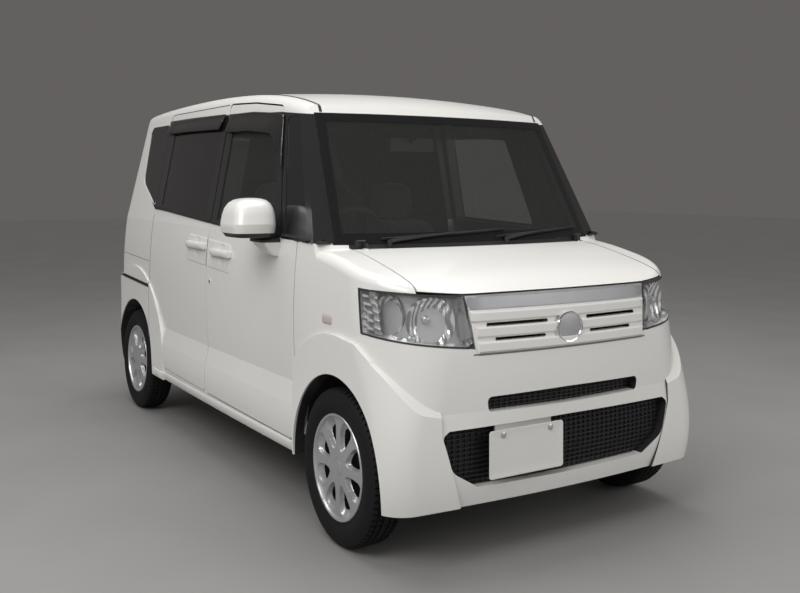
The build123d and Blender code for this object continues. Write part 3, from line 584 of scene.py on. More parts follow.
def rounded_loop(corners, steps):
    """A closed outline with an arc at each corner: a, b, radius."""
    out = []
    for index, (a, b, r) in enumerate(corners):
        before, after = corners[index - 1], corners[(index + 1) % len(corners)]
        here = Vector((a, b))
        to_before = (Vector(before[:2]) - here).normalized()
        to_after = (Vector(after[:2]) - here).normalized()
        half = to_before.angle(to_after) / 2
        reach = r / max(0.01, sin(half) / cos(half))
        start, end = here + to_before * reach, here + to_after * reach
        for i in range(steps + 1):
            t = i / steps
            bend = start * (1 - t) ** 2 + here * (2 * t * (1 - t)) + end * t ** 2
            out.append((bend.x, bend.y))
    return out


# Cross-section of a moulding: share of the half width, share of the height
MOULDING = [(-1.0, -0.6), (-0.92, 0.55), (-0.6, 0.95), (0.0, 1.0), (0.6, 0.95), (0.92, 0.55), (1.0, -0.6)]
STRIP_STEP = 0.03
END_RISE = 0.25


def side_strip(name, side, body, line, half, proud, look):
    """A moulding along a line on the side: the line's points are x, z."""
    sections = []
    for (x, z), across in with_across(spaced(line, STRIP_STEP)):
        wide = across * half
        sections.append([on_side(side, x + wide.x * share, z + wide.y * share, proud * height)
                         for share, height in MOULDING])
    return loft_piece(name, sections, look, body)


def front_strip(name, line, half, proud, look, section=MOULDING, ease=0.0):
    """A moulding along a line on the nose: the line's points are y, z, and its ends may slope down."""
    points = spaced(line, STRIP_STEP)
    if ease:
        reach = points[-1][0] - ease
        points = [points[0]] + [(y, z) for y, z in points if abs(y) < reach - 0.004] + [points[-1]]
        points[1:1] = [(-reach, points[0][1])]
        points[-1:-1] = [(reach, points[-1][1])]
    sections = []
    for index, ((y, z), across) in enumerate(with_across(points)):
        base_x = front_x(y, z)
        rise = END_RISE if ease and index in (0, len(points) - 1) else 1.0
        sections.append([Vector((base_x + proud * min(height, rise), y + across.x * half * share,
                                 z + across.y * half * share)) for share, height in section])
    return loft_piece(name, sections, look, SHELL, 24.0)


def tail_strip(name, line, half, proud, look, body, section=MOULDING):
    """A level moulding along a line on the tail: the line's points are y, z."""
    sections = []
    for y, z in spaced(line, STRIP_STEP):
        sections.append([Vector((tail_x(y, z + half * share) - proud * height, y, z + half * share))
                         for share, height in section])
    return loft_piece(name, sections, look, body, 30.0)


def grid_piece(name, rows, columns, place, look, body, thick=0.0, smooth=40.0):
    """A curved sheet: place(u, v) gives each point, and thick gives it a thickness."""
    verts = [place(i / (rows - 1), j / (columns - 1)) for i in range(rows) for j in range(columns)]
    obj = add_piece(name, verts, quads(rows, columns), look, body, smooth)
    if thick:
        solid = obj.modifiers.new("thickness", "SOLIDIFY")
        solid.thickness = thick
        solid.offset = 0.0
    return obj


# Cross-section of a bar, with eased edges
BAR_LOOP = [(-1, -0.6), (-1, 0.4), (-0.6, 1), (0.6, 1), (1, 0.4), (1, -0.6), (0.6, -1), (-0.6, -1)]


def bar_between(points, widths, heights, up):
    """A bar of rectangular section with eased edges through some points."""
    sections = []
    for index, point in enumerate(points):
        along = (points[min(index + 1, len(points) - 1)] - points[max(index - 1, 0)]).normalized()
        rise = (up - along * up.dot(along)).normalized()
        across = along.cross(rise)
        w, h = widths[index] / 2, heights[index] / 2
        sections.append([point + across * (a * w) + rise * (b * h) for a, b in BAR_LOOP])
    verts, faces = skin(sections)
    return verts, faces + [first_cap(len(BAR_LOOP)), last_cap(verts, len(BAR_LOOP))]


def straight_bar(ends, width, height, up):
    """A straight bar of one section."""
    return bar_between(ends, [width] * len(ends), [height] * len(ends), up)


# Wheels: tyre's half profile as radius and distance out from the middle plane
TYRE_HALF = [
    (0.1835, 0.0500), (0.1860, 0.0575), (0.1915, 0.0622), (0.1950, 0.0630), (0.2060, 0.0676),
    (0.2085, 0.0690), (0.2220, 0.0718), (0.2360, 0.0725), (0.2470, 0.0714), (0.2490, 0.0702),
    (0.2510, 0.0704), (0.2600, 0.0672), (0.2680, 0.0628), (0.2735, 0.0585), (0.2772, 0.0535),
    (0.2794, 0.0470), (0.2802, 0.0420), (0.2738, 0.0400), (0.2738, 0.0350), (0.2806, 0.0330),
    (0.2809, 0.0190), (0.2740, 0.0170), (0.2740, 0.0110), (0.2810, 0.0090), (0.2810, 0.0000),
]
TREAD_PITCHES = 72
PITCH_STEPS = (0.0, 0.66, 0.70, 0.96)
SIPE_DEPTH = 0.0055
# Sipes: least radius, first and last distance out, share of the depth
SIPES = [(0.2735, 0.041, 0.056, 1.0), (0.2745, 0.018, 0.034, 0.7)]
SPOKES = 8
COVER_R = 0.1780
COVER_RINGS = 56
COVER_STEPS = 384
HUB_OUT = 0.0640
HUB_RADII = [0.010, 0.020, 0.026, 0.0275, 0.029, 0.031, 0.033]
FACE_R = 0.036
FACE_OUT, FACE_FALL = 0.0608, 0.0050
HUB_RISE, HUB_EDGE = 0.0015, (0.026, 0.030)
GROOVE_DEPTH, GROOVE_IN, GROOVE_OUT = 0.0012, (0.0265, 0.0285), (0.0300, 0.0325)
SCOOP_AT, SCOOP_LONG, SCOOP_HALF, SCOOP_EGG = 0.1215, 0.0545, 0.0325, 0.48
HOLE_AT, HOLE_LONG, HOLE_HALF, HOLE_EGG = 0.1140, 0.0365, 0.0262, 0.44
SCOOP_DEPTH = 0.018
SCOOP_POWER = 2.4
# Rim and barrel behind a cover; the first rings are bright
BRIGHT_RINGS = 6
BACK_STEPS = COVER_STEPS // 4
COVER_BACK = [
    (COVER_R, 0.0558), (0.1792, 0.0600), (0.1812, 0.0640), (0.1850, 0.0655), (0.1880, 0.0650),
    (0.1898, 0.0620), (RIM_R, 0.0540), (RIM_R, -0.0580), (0.1680, -0.0580), (0.1640, -0.0500),
    (0.1600, -0.0200), (0.1500, 0.0200), (0.1200, 0.0280), (0.0900, 0.0280), (0.0880, -0.0140),
    (0.1180, -0.0140), (0.1180, -0.0240), (0.0255, -0.0240), (0.0255, 0.0280),
]


def wheel_point(side, axle_x, r, angle, out):
    """A point on a wheel from its radius, angle and distance out from the middle plane."""
    return Vector((axle_x + r * cos(angle), side * (WHEEL_Y + out), HUB_Z + r * sin(angle)))


def tyre(name, side, axle_x, body):
    """A road tyre: beaded sidewalls, four grooves and sipes across the shoulders."""
    profile = TYRE_HALF + [(r, -out) for r, out in TYRE_HALF[-2::-1]]
    pitch_angle = 2 * pi / TREAD_PITCHES
    turns = [(pitch + step) * pitch_angle for pitch in range(TREAD_PITCHES) for step in PITCH_STEPS]
    verts = []
    for index, angle in enumerate(turns):
        sunk = SIPE_DEPTH if index % len(PITCH_STEPS) >= 2 else 0.0
        for r, out in profile:
            cut = 0.0
            for least, first, last, share in SIPES:
                if r > least and first < abs(out) < last:
                    cut = sunk * share
            verts.append(wheel_point(side, axle_x, r - cut, angle, out))
    faces = quads(len(turns), len(profile), wrap_rows=True)
    obj = add_piece("road_" + name, verts, faces, RUBBER, body, 35.0)
    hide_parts(name)


def egg_share(u, v, at, long, half, egg):
    """How far out a place is in a squarish egg, 1 on its edge."""
    lean = (u - at) / long
    wide = v / (half * max(0.3, 1 + egg * lean))
    return (abs(lean) ** SCOOP_POWER + abs(wide) ** SCOOP_POWER) ** (1 / SCOOP_POWER)


def cover_depth(r, angle):
    """How far a cover's face lies below its spokes, and whether the place is in an opening, where the face
    runs on flat at the scoop's depth and is painted near-black shade.
    """
    sector = 2 * pi / SPOKES
    off = (angle % sector) - sector / 2
    u, v = r * cos(off), r * sin(off)
    rim_share = egg_share(u, v, SCOOP_AT, SCOOP_LONG, SCOOP_HALF, SCOOP_EGG)
    if rim_share >= 1.0:
        return 0.0, False
    hole_share = egg_share(u, v, HOLE_AT, HOLE_LONG, HOLE_HALF, HOLE_EGG)
    if hole_share <= 1.0:
        return SCOOP_DEPTH, True
    reach = (1 - rim_share) / ((1 - rim_share) + 0.5 * (hole_share - 1))
    return SCOOP_DEPTH * (1 - (1 - reach) ** 1.5), False


def cover_out(r):
    """How far out a cover's spokes stand at a radius: a hub cap in a groove, then a slow fall."""
    hub = HUB_RISE * (1 - smooth_step(*HUB_EDGE, r))
    groove = GROOVE_DEPTH * smooth_step(*GROOVE_IN, r) * (1 - smooth_step(*GROOVE_OUT, r))
    return FACE_OUT + hub - FACE_FALL * (r / COVER_R) ** 2 - groove


def wheel_cover(name, side, axle_x, body):
    """A silver cover with eight scooped openings, each a sheet painted near-black as shade, its rim and the
    barrel behind it.
    """
    radii = HUB_RADII + [FACE_R + (COVER_R - FACE_R) * i / COVER_RINGS for i in range(COVER_RINGS + 1)]
    turns = [2 * pi * i / COVER_STEPS for i in range(COVER_STEPS)]
    verts = [wheel_point(side, axle_x, 0.0, 0.0, HUB_OUT)]
    for r in radii:
        for angle in turns:
            verts.append(wheel_point(side, axle_x, r, angle, cover_out(r) - cover_depth(r, angle)[0]))
    faces = [(0, 1 + j, 1 + (j + 1) % COVER_STEPS) for j in range(COVER_STEPS)]
    picks = [0] * COVER_STEPS
    for face in quads(len(radii), COVER_STEPS, wrap_columns=True, base=1):
        ring, step = divmod(face[0] - 1, COVER_STEPS)
        middle_r = (radii[ring] + radii[ring + 1]) / 2
        middle_angle = turns[step] + pi / COVER_STEPS
        faces.append(face)
        # Faces in an opening are painted near-black shade
        picks.append(1 if cover_depth(middle_r, middle_angle)[1] else 0)
    back_faces = quads(len(COVER_BACK), BACK_STEPS, wrap_columns=True, base=len(verts))
    for r, out in COVER_BACK:
        verts += [wheel_point(side, axle_x, r, angle, out) for angle in turns[::4]]
    faces += back_faces
    picks += [2 if index < BRIGHT_RINGS * BACK_STEPS else 3 for index in range(len(back_faces))]
    looks = (PAINTED_HOLE_SHADE, SATIN_CHROME, STEEL)
    obj = add_piece("cover_" + name, verts, faces, SILVER, body, 32.0, picks, looks)
    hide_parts(name)


def wheels():
    """Four tyres and their covers."""
    for end, axle_x in (("front", FRONT_AXLE_X), ("rear", REAR_AXLE_X)):
        for side in (RIGHT, LEFT):
            tail = end + "_" + SIDE_NAMES[side]
            body = "wheel_" + end[0] + SIDE_NAMES[side][0]
            tyre("tyre_" + tail, side, axle_x, body)
            wheel_cover("wheel_" + tail, side, axle_x, body)


# Headlamps: patch corners as the angle about an upright line inside the corner, and the height
LAMP_X, LAMP_Y = 1.30, 0.35
LAMP_INNER_LOW, LAMP_INNER_TOP = (7.4, 0.7375), (12.6, 0.9175)
LAMP_OUTER_LOW, LAMP_OUTER_TOP = (70.6, 0.785), (74.6, 0.9405)
LAMP_DEEP = 0.052
LAMP_EDGE = [(i / 30, 0.0) for i in range(30)] + [(1.0, i / 12) for i in range(12)]
LAMP_EDGE += [(1 - u, 1 - v) for u, v in LAMP_EDGE]
# Rims round the edge: how far drawn in along u and v, and how deep
GASKET_ROWS = [(0.0, 0.0, 0.002), (0.0, 0.0, -0.0012), (0.034, 0.075, -0.0012), (0.034, 0.075, 0.002)]
WALL_ROWS = [(0.012, 0.03, 0.002), (0.05, 0.10, LAMP_DEEP)]
MAIN_AT, MAIN_WAY = (1.598, 0.533, 0.829), (0.925, 0.38)
MAIN_RADII, MAIN_DEPTH = (0.074, 0.078), 0.042
SECOND_AT, SECOND_WAY = (1.487, 0.640, 0.846), (0.62, 0.785)
SECOND_RADII, SECOND_DEPTH = (0.054, 0.064), 0.034
FLUTE_DEPTH, FLUTE_TURN = 0.0026, 22.0
DISH_LIP = [(1.0, 0.0), (1.03, -0.004), (1.10, -0.004), (1.16, 0.004), (1.18, 0.02)]
# Bulbs: place, way, radius and length
BULBS = [((1.566, 0.540, 0.838), MAIN_WAY, 0.015, 0.030), ((1.463, 0.612, 0.850), SECOND_WAY, 0.012, 0.026),
         ((1.578, 0.605, 0.776), MAIN_WAY, 0.014, 0.018)]
BULB_PROFILE = [(1.0, 0.0), (1.0, 0.7), (0.85, 0.88), (0.5, 0.98), (0.02, 1.0)]
TURN_SHARE, TURN_DEEP = 0.80, 0.020
RIB_ROWS, RIB_FIRST, RIB_PITCH = 5, 0.16, 0.17
RIB_SECTION = [(-0.032, 0.019), (-0.026, 0.008), (0.026, 0.008), (0.032, 0.019)]
LAMP_SKIN = surface("headlamps", "front_bumper", "bonnet", "front_fender_right", "grille_bar", "grille")


def lamp_point(side, u, v, deep):
    """A point behind the lamp's face: u runs from the grille outwards, v upwards."""
    low = LAMP_INNER_LOW[0] + (LAMP_OUTER_LOW[0] - LAMP_INNER_LOW[0]) * u
    top = LAMP_INNER_TOP[0] + (LAMP_OUTER_TOP[0] - LAMP_INNER_TOP[0]) * u
    angle = radians(low + (top - low) * v)
    low_z = LAMP_INNER_LOW[1] + (LAMP_OUTER_LOW[1] - LAMP_INNER_LOW[1]) * max(u, 0.0) ** 1.15
    top_z = LAMP_INNER_TOP[1] + (LAMP_OUTER_TOP[1] - LAMP_INNER_TOP[1]) * u
    way = Vector((cos(angle), -sin(angle), 0))
    start = Vector((LAMP_X, -LAMP_Y, low_z + (top_z - low_z) * v))
    hit = LAMP_SKIN.ray_cast(start + way * 1.0, -way)[0]
    reach = (hit - start).length if hit is not None else 0.34
    spot = start + way * (reach - deep)
    return Vector((spot.x, -side * spot.y, spot.z))


def lamp_sheet(side, u_run, v_run, rows, columns, deep):
    """A sheet behind part of a lamp's face: each run is a first and last place."""
    points = []
    for i in range(rows):
        u = u_run[0] + (u_run[1] - u_run[0]) * i / (rows - 1)
        for j in range(columns):
            points.append(lamp_point(side, u, v_run[0] + (v_run[1] - v_run[0]) * j / (columns - 1), deep))
    return points, quads(rows, columns)


def lamp_rim(side, rows):
    """Sections round a lamp's edge."""
    rim = []
    for u, v in LAMP_EDGE:
        rim.append([lamp_point(side, u + (0.5 - u) * in_u, v + (0.5 - v) * in_v, deep)
                    for in_u, in_v, deep in rows])
    return rim


def lamp_frame(side, at, way):
    """A lamp's middle and the directions across and out of it."""
    out = Vector((way[0], side * way[1], 0)).normalized()
    return Vector((at[0], side * at[1], at[2])), Vector((-out.y, out.x, 0)), out


def dish(side, at, way, radii, depth, rings, steps):
    """A reflector bowl facing outwards, with upright flutes pressed in it and a rolled lip."""
    centre, across, out = lamp_frame(side, at, way)
    verts = []
    for i in range(rings + 1):
        share = i / rings
        for j in range(steps):
            a, b = share * cos(2 * pi * j / steps), share * sin(2 * pi * j / steps)
            drop = depth * (1 - share ** 2) + FLUTE_DEPTH * sin(a * FLUTE_TURN) * (1 - share ** 6)
            verts.append(centre + across * (radii[0] * a) + UP * (radii[1] * b) - out * drop)
    lip = turned(centre, across * radii[0], UP * radii[1], -out, DISH_LIP, steps)
    return join_parts([(verts, quads(rings + 1, steps, wrap_columns=True)), lip])


def bulb(side, at, way, radius, length):
    """A small capped lamp standing on a bowl's middle."""
    centre, across, out = lamp_frame(side, at, way)
    return turned(centre, across * radius, UP * radius, out * length, BULB_PROFILE, 20)


def turn_lamp(side):
    """The ribbed turn lamp at the outer end."""
    parts = [lamp_sheet(side, (TURN_SHARE, 0.975), (0.06, 0.94), 6, 14, TURN_DEEP)]
    for row in range(RIB_ROWS):
        v = RIB_FIRST + RIB_PITCH * row
        points = []
        for i in range(6):
            u = TURN_SHARE + (0.972 - TURN_SHARE) * i / 5
            points += [lamp_point(side, u, v + rise, deep) for rise, deep in RIB_SECTION]
        parts.append((points, quads(6, len(RIB_SECTION))))
    return parts


def headlamps():
    """Clear lens over a chrome housing with two reflectors and a ribbed turn lamp."""
    for side in (RIGHT, LEFT):
        tail = SIDE_NAMES[side]
        verts, faces = lamp_sheet(side, (-0.006, 1.006), (-0.015, 1.015), 34, 18, 0.0015)
        add_piece("lamp_lens_" + tail, verts, faces, LENS, SHELL)
        loft_piece("lamp_gasket_" + tail, lamp_rim(side, GASKET_ROWS), GASKET, SHELL, closed=True)
        wall = [point for pair in lamp_rim(side, WALL_ROWS) for point in pair]
        housing = [(wall, quads(len(LAMP_EDGE), 2, wrap_rows=True)),
                   lamp_sheet(side, (0.025, 0.975), (0.05, 0.95), 28, 14, LAMP_DEEP)]
        add_parts("lamp_housing_" + tail, housing, LAMP_SHADE, SHELL)
        bowls = [dish(side, MAIN_AT, MAIN_WAY, MAIN_RADII, MAIN_DEPTH, 22, 96),
                 dish(side, SECOND_AT, SECOND_WAY, SECOND_RADII, SECOND_DEPTH, 18, 80)]
        add_parts("lamp_reflectors_" + tail, bowls, LAMP_CHROME, SHELL, 60.0)
        add_parts("lamp_bulbs_" + tail, [bulb(side, *spot) for spot in BULBS], SATIN_CHROME, SHELL, 50.0)
        add_parts("lamp_turn_" + tail, turn_lamp(side), LAMP_CHROME, SHELL, 25.0)
    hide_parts("headlamps")


# Grille: each slat's middle height and half length
SLATS = [(0.8440, 0.412), (0.7915, 0.408), (0.7400, 0.404)]
SLAT_HALF, SLAT_PROUD = 0.0195, 0.0095
# Dark slits: height, first and last distance from the middle
SLIT_ROWS = [(0.817, 0.094, 0.350), (0.767, 0.108, 0.318)]
SLIT_HALF, SLIT_PROUD = 0.0036, 0.0035
# Painted shadow: a grey strip under the lowest slat and up the grille's ends, its half width, how proud and
# its line
SHADOW_LINE_HALF, SHADOW_LINE_PROUD = 0.0035, 0.0015
GRILLE_SHADOW_LINE = [(-0.419, 0.868), (-0.407, 0.7185), (0.407, 0.7185), (0.419, 0.868)]
BAR_Z, BAR_HALF, BAR_REACH, BAR_PROUD = 0.892, 0.0245, 0.418, 0.009
SLAT_SECTION = [(-1.0, -0.6), (-1.0, 0.2), (-0.58, 1.0), (0.72, 0.86), (1.0, 0.3), (1.0, -0.6)]
BAR_SECTION = [(-1.0, -0.6), (-1.0, 0.45), (-0.72, 1.0), (0.86, 0.62), (1.0, 0.3), (1.0, -0.6)]
END_EASE, BAR_EASE = 0.016, 0.030
DISC_Z, DISC_R, DISC_WIDER = 0.788, 0.056, 1.12
DISC_STEPS = 64
DISC_RIM_ROWS = 5
DISC_PROFILE = [(1.0, 0.0), (1.0, 0.010), (0.95, 0.0135), (0.88, 0.0125), (0.84, 0.0095), (0.80, 0.0098),
                (0.4, 0.0118), (0.02, 0.0125)]


def grille():
    """Three white slats with dark slits, the satin bar over them, a grey line of painted shadow along the
    grille's foot and ends, and a plain round disc in the middle.
    """
    for index, (z, reach) in enumerate(SLATS):
        front_strip("grille_slat_%d" % index, [(-reach, z), (reach, z)], SLAT_HALF, SLAT_PROUD, TRIM_PAINT,
                    SLAT_SECTION, END_EASE)
    # Grey strip painted as the shadow under the grille
    front_strip("grille_shadow_line", GRILLE_SHADOW_LINE, SHADOW_LINE_HALF, SHADOW_LINE_PROUD, SEAM_AND_SHADOW_GREY)
    for index, (z, first, last) in enumerate(SLIT_ROWS):
        for side in (RIGHT, LEFT):
            name = "grille_slit_%d_%s" % (index, SIDE_NAMES[side])
            front_strip(name, [(side * first, z), (side * last, z)], SLIT_HALF, SLIT_PROUD, BLACK_MATTE)
    bar = front_strip("grille_bar_face", [(-BAR_REACH, BAR_Z), (BAR_REACH, BAR_Z)], BAR_HALF, BAR_PROUD,
                      SATIN_CHROME, BAR_SECTION, BAR_EASE)
    bar.data.set_sharp_from_angle(angle=radians(12.0))
    centre = Vector((front_x(0.0, DISC_Z) + 0.001, 0, DISC_Z))
    wide = ACROSS * (DISC_R * DISC_WIDER)
    verts, faces = turned(centre, wide, UP * DISC_R, FORWARD, DISC_PROFILE, DISC_STEPS)
    picks = [1 if face[0] >= DISC_RIM_ROWS * DISC_STEPS else 0 for face in faces]
    add_piece("nose_disc", verts, faces, CHROME, SHELL, 35.0, picks, (SATIN_CHROME,))


# Bumper openings: the upper one's middle height and half sizes, the lower one's heights and half widths
SLOT = (0.545, 0.026, 0.352)
SLOT_BARS = 4
INTAKE_ROWS = [(0.272, 0.385), (0.300, 0.450), (0.345, 0.497), (0.400, 0.515), (0.465, 0.518)]
INTAKE_FIRST, INTAKE_PITCH = 0.012, 0.0165
MESH_PITCH = 0.024
# Half width and rise of the level and upright bars in each opening
SLOT_LEVEL, SLOT_UPRIGHT = (0.0022, 0.008), (0.0018, 0.006)
INTAKE_LEVEL, INTAKE_UPRIGHT = (0.0026, 0.010), (0.0022, 0.007)
MESH_SECTION = [(-1.0, False), (-0.6, True), (0.6, True), (1.0, False)]


def mesh_bar(points, half_y, half_z, rise):
    """One bar of a mesh, lying on the plate behind an opening."""
    verts = []
    for y, z in points:
        x = seen_x(MESH_SKIN, 1, y, z, 1.62)
        verts += [Vector((x + rise if high else x - 0.001, y + half_y * share, z + half_z * share))
                  for share, high in MESH_SECTION]
    return verts, quads(len(points), len(MESH_SECTION))


def level_bar(z, reach, steps, half, rise):
    """A bar of a mesh straight across."""
    return mesh_bar([(-reach + 2 * reach * i / steps, z) for i in range(steps + 1)], 0.0, half, rise)


def upright_bar(points, half, rise):
    """A bar of a mesh straight up."""
    return mesh_bar(points, half, 0.0, rise)


def bumper_mesh():
    """Black bars in the two openings of the nose."""
    middle, half, reach = SLOT
    bars = []
    for i in range(SLOT_BARS):
        bars.append(level_bar(middle - half + (i + 0.5) * 2 * half / SLOT_BARS, reach, 24, *SLOT_LEVEL))
    count = int(2 * reach / MESH_PITCH)
    for i in range(count + 1):
        y = -reach + 2 * reach * i / count
        bars.append(upright_bar([(y, middle - half), (y, middle + half)], *SLOT_UPRIGHT))
    low, top = INTAKE_ROWS[0][0], INTAKE_ROWS[-1][0]
    z = low + INTAKE_FIRST
    while z < top:
        bars.append(level_bar(z, between(INTAKE_ROWS, z), 32, *INTAKE_LEVEL))
        z += INTAKE_PITCH
    reach = INTAKE_ROWS[-1][1]
    count = int(2 * reach / MESH_PITCH)
    for i in range(count + 1):
        y = reach * (2 * i / count - 1)
        start = [row for row in INTAKE_ROWS if row[1] >= abs(y)][0][0]
        bars.append(upright_bar([(y, start), (y, (start + top) / 2), (y, top)], *INTAKE_UPRIGHT))
    add_parts("bumper_mesh_bars", bars, BLACK_SATIN, SHELL, 30.0)


# Number plates, blank: rings of inset and rise, and the caps
PLATE_W, PLATE_H, PLATE_CORNER = 0.330, 0.165, 0.012
FRONT_PLATE_AT = (1.6955, -0.193, 0.373)
PLATE_RINGS = [(0.000, 0.0000), (0.000, 0.0016), (0.004, 0.0022), (0.007, 0.0016), (0.030, 0.0014)]
CAP_Y, CAP_Z, CAP_R = 0.105, 0.065, 0.011
CAP_PROFILE = [(1.0, 0.001), (1.0, 0.004), (0.7, 0.006), (0.02, 0.0065)]


def blank_plate(name, body, at, facing):
    """A pressed plate with a raised edge and two caps, facing along X."""
    centre = Vector(at)
    out = FORWARD * facing
    sections = []
    for inset, rise in PLATE_RINGS:
        loop = rounded_loop(box_corners(PLATE_W / 2 - inset, PLATE_H / 2 - inset, PLATE_CORNER), 4)
        sections.append([centre + out * rise + ACROSS * a + UP * b for a, b in loop])
    loft_piece(name, sections, PLATE, body, 30.0)
    caps = []
    for y in (-CAP_Y, CAP_Y):
        spot = centre + ACROSS * y + UP * CAP_Z
        caps.append(turned(spot, ACROSS * CAP_R, UP * CAP_R, out, CAP_PROFILE, 20))
    add_parts(name + "_caps", caps, SATIN_CHROME, body)


# Side trim: each belt moulding's name, whether it is the door's, and its first and last x
DOOR_BODIES = {RIGHT: "front_door_right_body", LEFT: "front_door_left_body"}
BELT_RUNS = [("belt_front_", True, -0.056, 0.748), ("belt_slide_", False, -0.984, -0.069),
             ("belt_quarter_", False, 0.760, 1.075)]
BELT_RISE, BELT_HALF, BELT_PROUD = 0.006, 0.0095, 0.0055
FRONT_VISOR_TOP = [(-0.055, 1.636), (0.25, 1.631), (0.52, 1.610), (0.590, 1.598)]
REAR_VISOR_TOP = [(-0.985, 1.650), (-0.60, 1.648), (-0.105, 1.640)]
FRONT_VISOR_DROP, REAR_VISOR_DROP = 0.088, 0.074
# The front visor runs down the door's front edge: over this length, by this much
FRONT_VISOR_LEG = (0.13, 0.150)
SILL_LINE = [(-0.890, 0.2725), (0.890, 0.2725)]
SILL_HALF, SILL_PROUD = 0.0205, 0.006
SLIDE_RAIL_LINE = [(-1.554, 0.753), (-0.993, 0.729)]
SLIDE_RAIL_HALF, SLIDE_RAIL_PROUD = 0.0095, 0.003


def visor(name, side, body, top, drop, leg=None):
    """A smoked rain visor: fixed along its top edge and standing off the glass at its lower edge."""
    points = spaced(top, 0.02)
    rear, front = points[0][0], points[-1][0]
    rows = len(points)

    def place(u, v):
        x, z = points[min(int(u * (rows - 1) + 0.5), rows - 1)]
        fade = smooth_step(front - leg[0], front, x) if leg else 0.0
        fall = drop + (leg[1] * fade ** 2.2 if leg else 0.0)
        x += 0.065 * fade * v
        close = min(1.0, (x - rear) / 0.03, max(0.0, (front + 0.03 - x) / 0.03))
        stand = 0.004 + (0.003 + 0.019 * smooth_step(0.05, 0.9, v)) * max(0.25, close) * (1 - 0.55 * fade)
        return on_side(side, x, z - fall * v, stand)

    sheet = grid_piece(name, rows, 12, place, SMOKED, body, 0.003)
    sheet.data.materials.append(BLACK_MATTE)
    sheet.modifiers["thickness"].material_offset_rim = 1


def side_trim():
    """Belt mouldings, visors, sill mouldings and the sliding doors' rails on both sides."""
    for side in (RIGHT, LEFT):
        tail = SIDE_NAMES[side]
        door = DOOR_BODIES[side]
        for name, on_door, low, high in BELT_RUNS:
            places = [low + (high - low) * i / 8 for i in range(9)]
            line = [(x, between(BELT_LINE, x) + BELT_RISE) for x in places]
            body = door if on_door else SHELL
            side_strip(name + tail, side, body, line, BELT_HALF, BELT_PROUD, BLACK_SATIN)
        visor("visor_front_" + tail, side, door, FRONT_VISOR_TOP, FRONT_VISOR_DROP, FRONT_VISOR_LEG)
        visor("visor_rear_" + tail, side, SHELL, REAR_VISOR_TOP, REAR_VISOR_DROP)
        side_strip("sill_moulding_" + tail, side, SHELL, SILL_LINE, SILL_HALF, SILL_PROUD, TRIM_PAINT)
        side_strip("slide_rail_" + tail, side, SHELL, SLIDE_RAIL_LINE, SLIDE_RAIL_HALF, SLIDE_RAIL_PROUD,
                   BLACK_MATTE)


# Door mirrors: height, rear x, front x, inner and outer distance from the middle, front corner radius
MIRROR_ROWS = [
    (1.0840, 0.628, 0.745, 0.766, 0.884, 0.036), (1.0860, 0.608, 0.762, 0.750, 0.902, 0.044),
    (1.1030, 0.598, 0.776, 0.743, 0.913, 0.048), (1.1032, 0.595, 0.779, 0.740, 0.916, 0.050),
    (1.1230, 0.5925, 0.785, 0.738, 0.9185, 0.052), (1.1400, 0.592, 0.787, 0.738, 0.919, 0.052),
    (1.1420, 0.592, 0.7862, 0.738, 0.9183, 0.052), (1.1740, 0.594, 0.780, 0.739, 0.914, 0.052),
    (1.2020, 0.599, 0.768, 0.742, 0.906, 0.050), (1.2230, 0.606, 0.750, 0.749, 0.892, 0.046),
    (1.2355, 0.616, 0.729, 0.760, 0.874, 0.040), (1.2420, 0.632, 0.705, 0.778, 0.852, 0.030),
    (1.2440, 0.652, 0.684, 0.798, 0.832, 0.012),
]
MIRROR_DARK_ROWS = 3
# Mirror glass: its middle's distance out and height, half sizes, and rings of size and x
GLASS_Y, GLASS_Z = 0.830, 1.160
GLASS_HALF = (0.068, 0.050)
GLASS_RINGS = [(1.10, 0.600), (1.10, 0.5925), (1.02, 0.5915), (0.985, 0.5945), (0.97, 0.5942)]
# Mirror neck: height, rear and front x, outer distance from the middle
NECK_ROWS = [(1.064, 0.604, 0.752, 0.798), (1.073, 0.604, 0.753, 0.800), (1.079, 0.612, 0.748, 0.796),
             (1.0792, 0.640, 0.732, 0.822), (1.092, 0.640, 0.732, 0.828)]
NECK_IN = 0.712
FOOT_TOP_Z, FOOT_LOW_Z = 1.066, 1.006
FOOT_ROWS = 11


def level_ring(side, z, corners, steps):
    """A rounded outline at a height; its corners are x and distance from the middle."""
    return [Vector((a, side * b, z)) for a, b in rounded_loop(corners, steps)]


def mirror_glass(side, body):
    """The mirror's glass in its black frame."""
    rings = []
    for grow, x in GLASS_RINGS:
        loop = rounded_loop(box_corners(GLASS_HALF[0] * grow, GLASS_HALF[1] * grow, 0.02), 6)
        rings.append([Vector((x, side * (GLASS_Y + a), GLASS_Z + b)) for a, b in loop])
    verts, faces = skin(rings)
    picks = [0] * len(faces) + [1]
    faces.append(last_cap(verts, len(rings[0])))
    name = "mirror_glass_" + SIDE_NAMES[side]
    add_piece(name, verts, faces, BLACK_SATIN, body, 40.0, picks, (MIRROR_GLASS,))


def mirror_foot(side, body):
    """The painted wedge under a mirror's neck."""
    door_y = side_y(0.70, 0.985)
    inner = door_y - 0.012
    sections = []
    for i in range(FOOT_ROWS):
        t = i / (FOOT_ROWS - 1)
        low, high = 0.604 + 0.112 * t ** 1.7, 0.752 - 0.006 * t
        y_out = door_y + 0.004 + 0.060 * (1 - t) ** 0.55
        corners = [(high, inner, 0.002), (high, y_out, 0.010 + 0.006 * (1 - t)),
                   (low, y_out, 0.012 + 0.014 * (1 - t)), (low, inner, 0.002)]
        sections.append(level_ring(side, FOOT_TOP_Z + (FOOT_LOW_Z - FOOT_TOP_Z) * t, corners, 5))
    loft_piece("mirror_foot_" + SIDE_NAMES[side], sections, TRIM_PAINT, body)


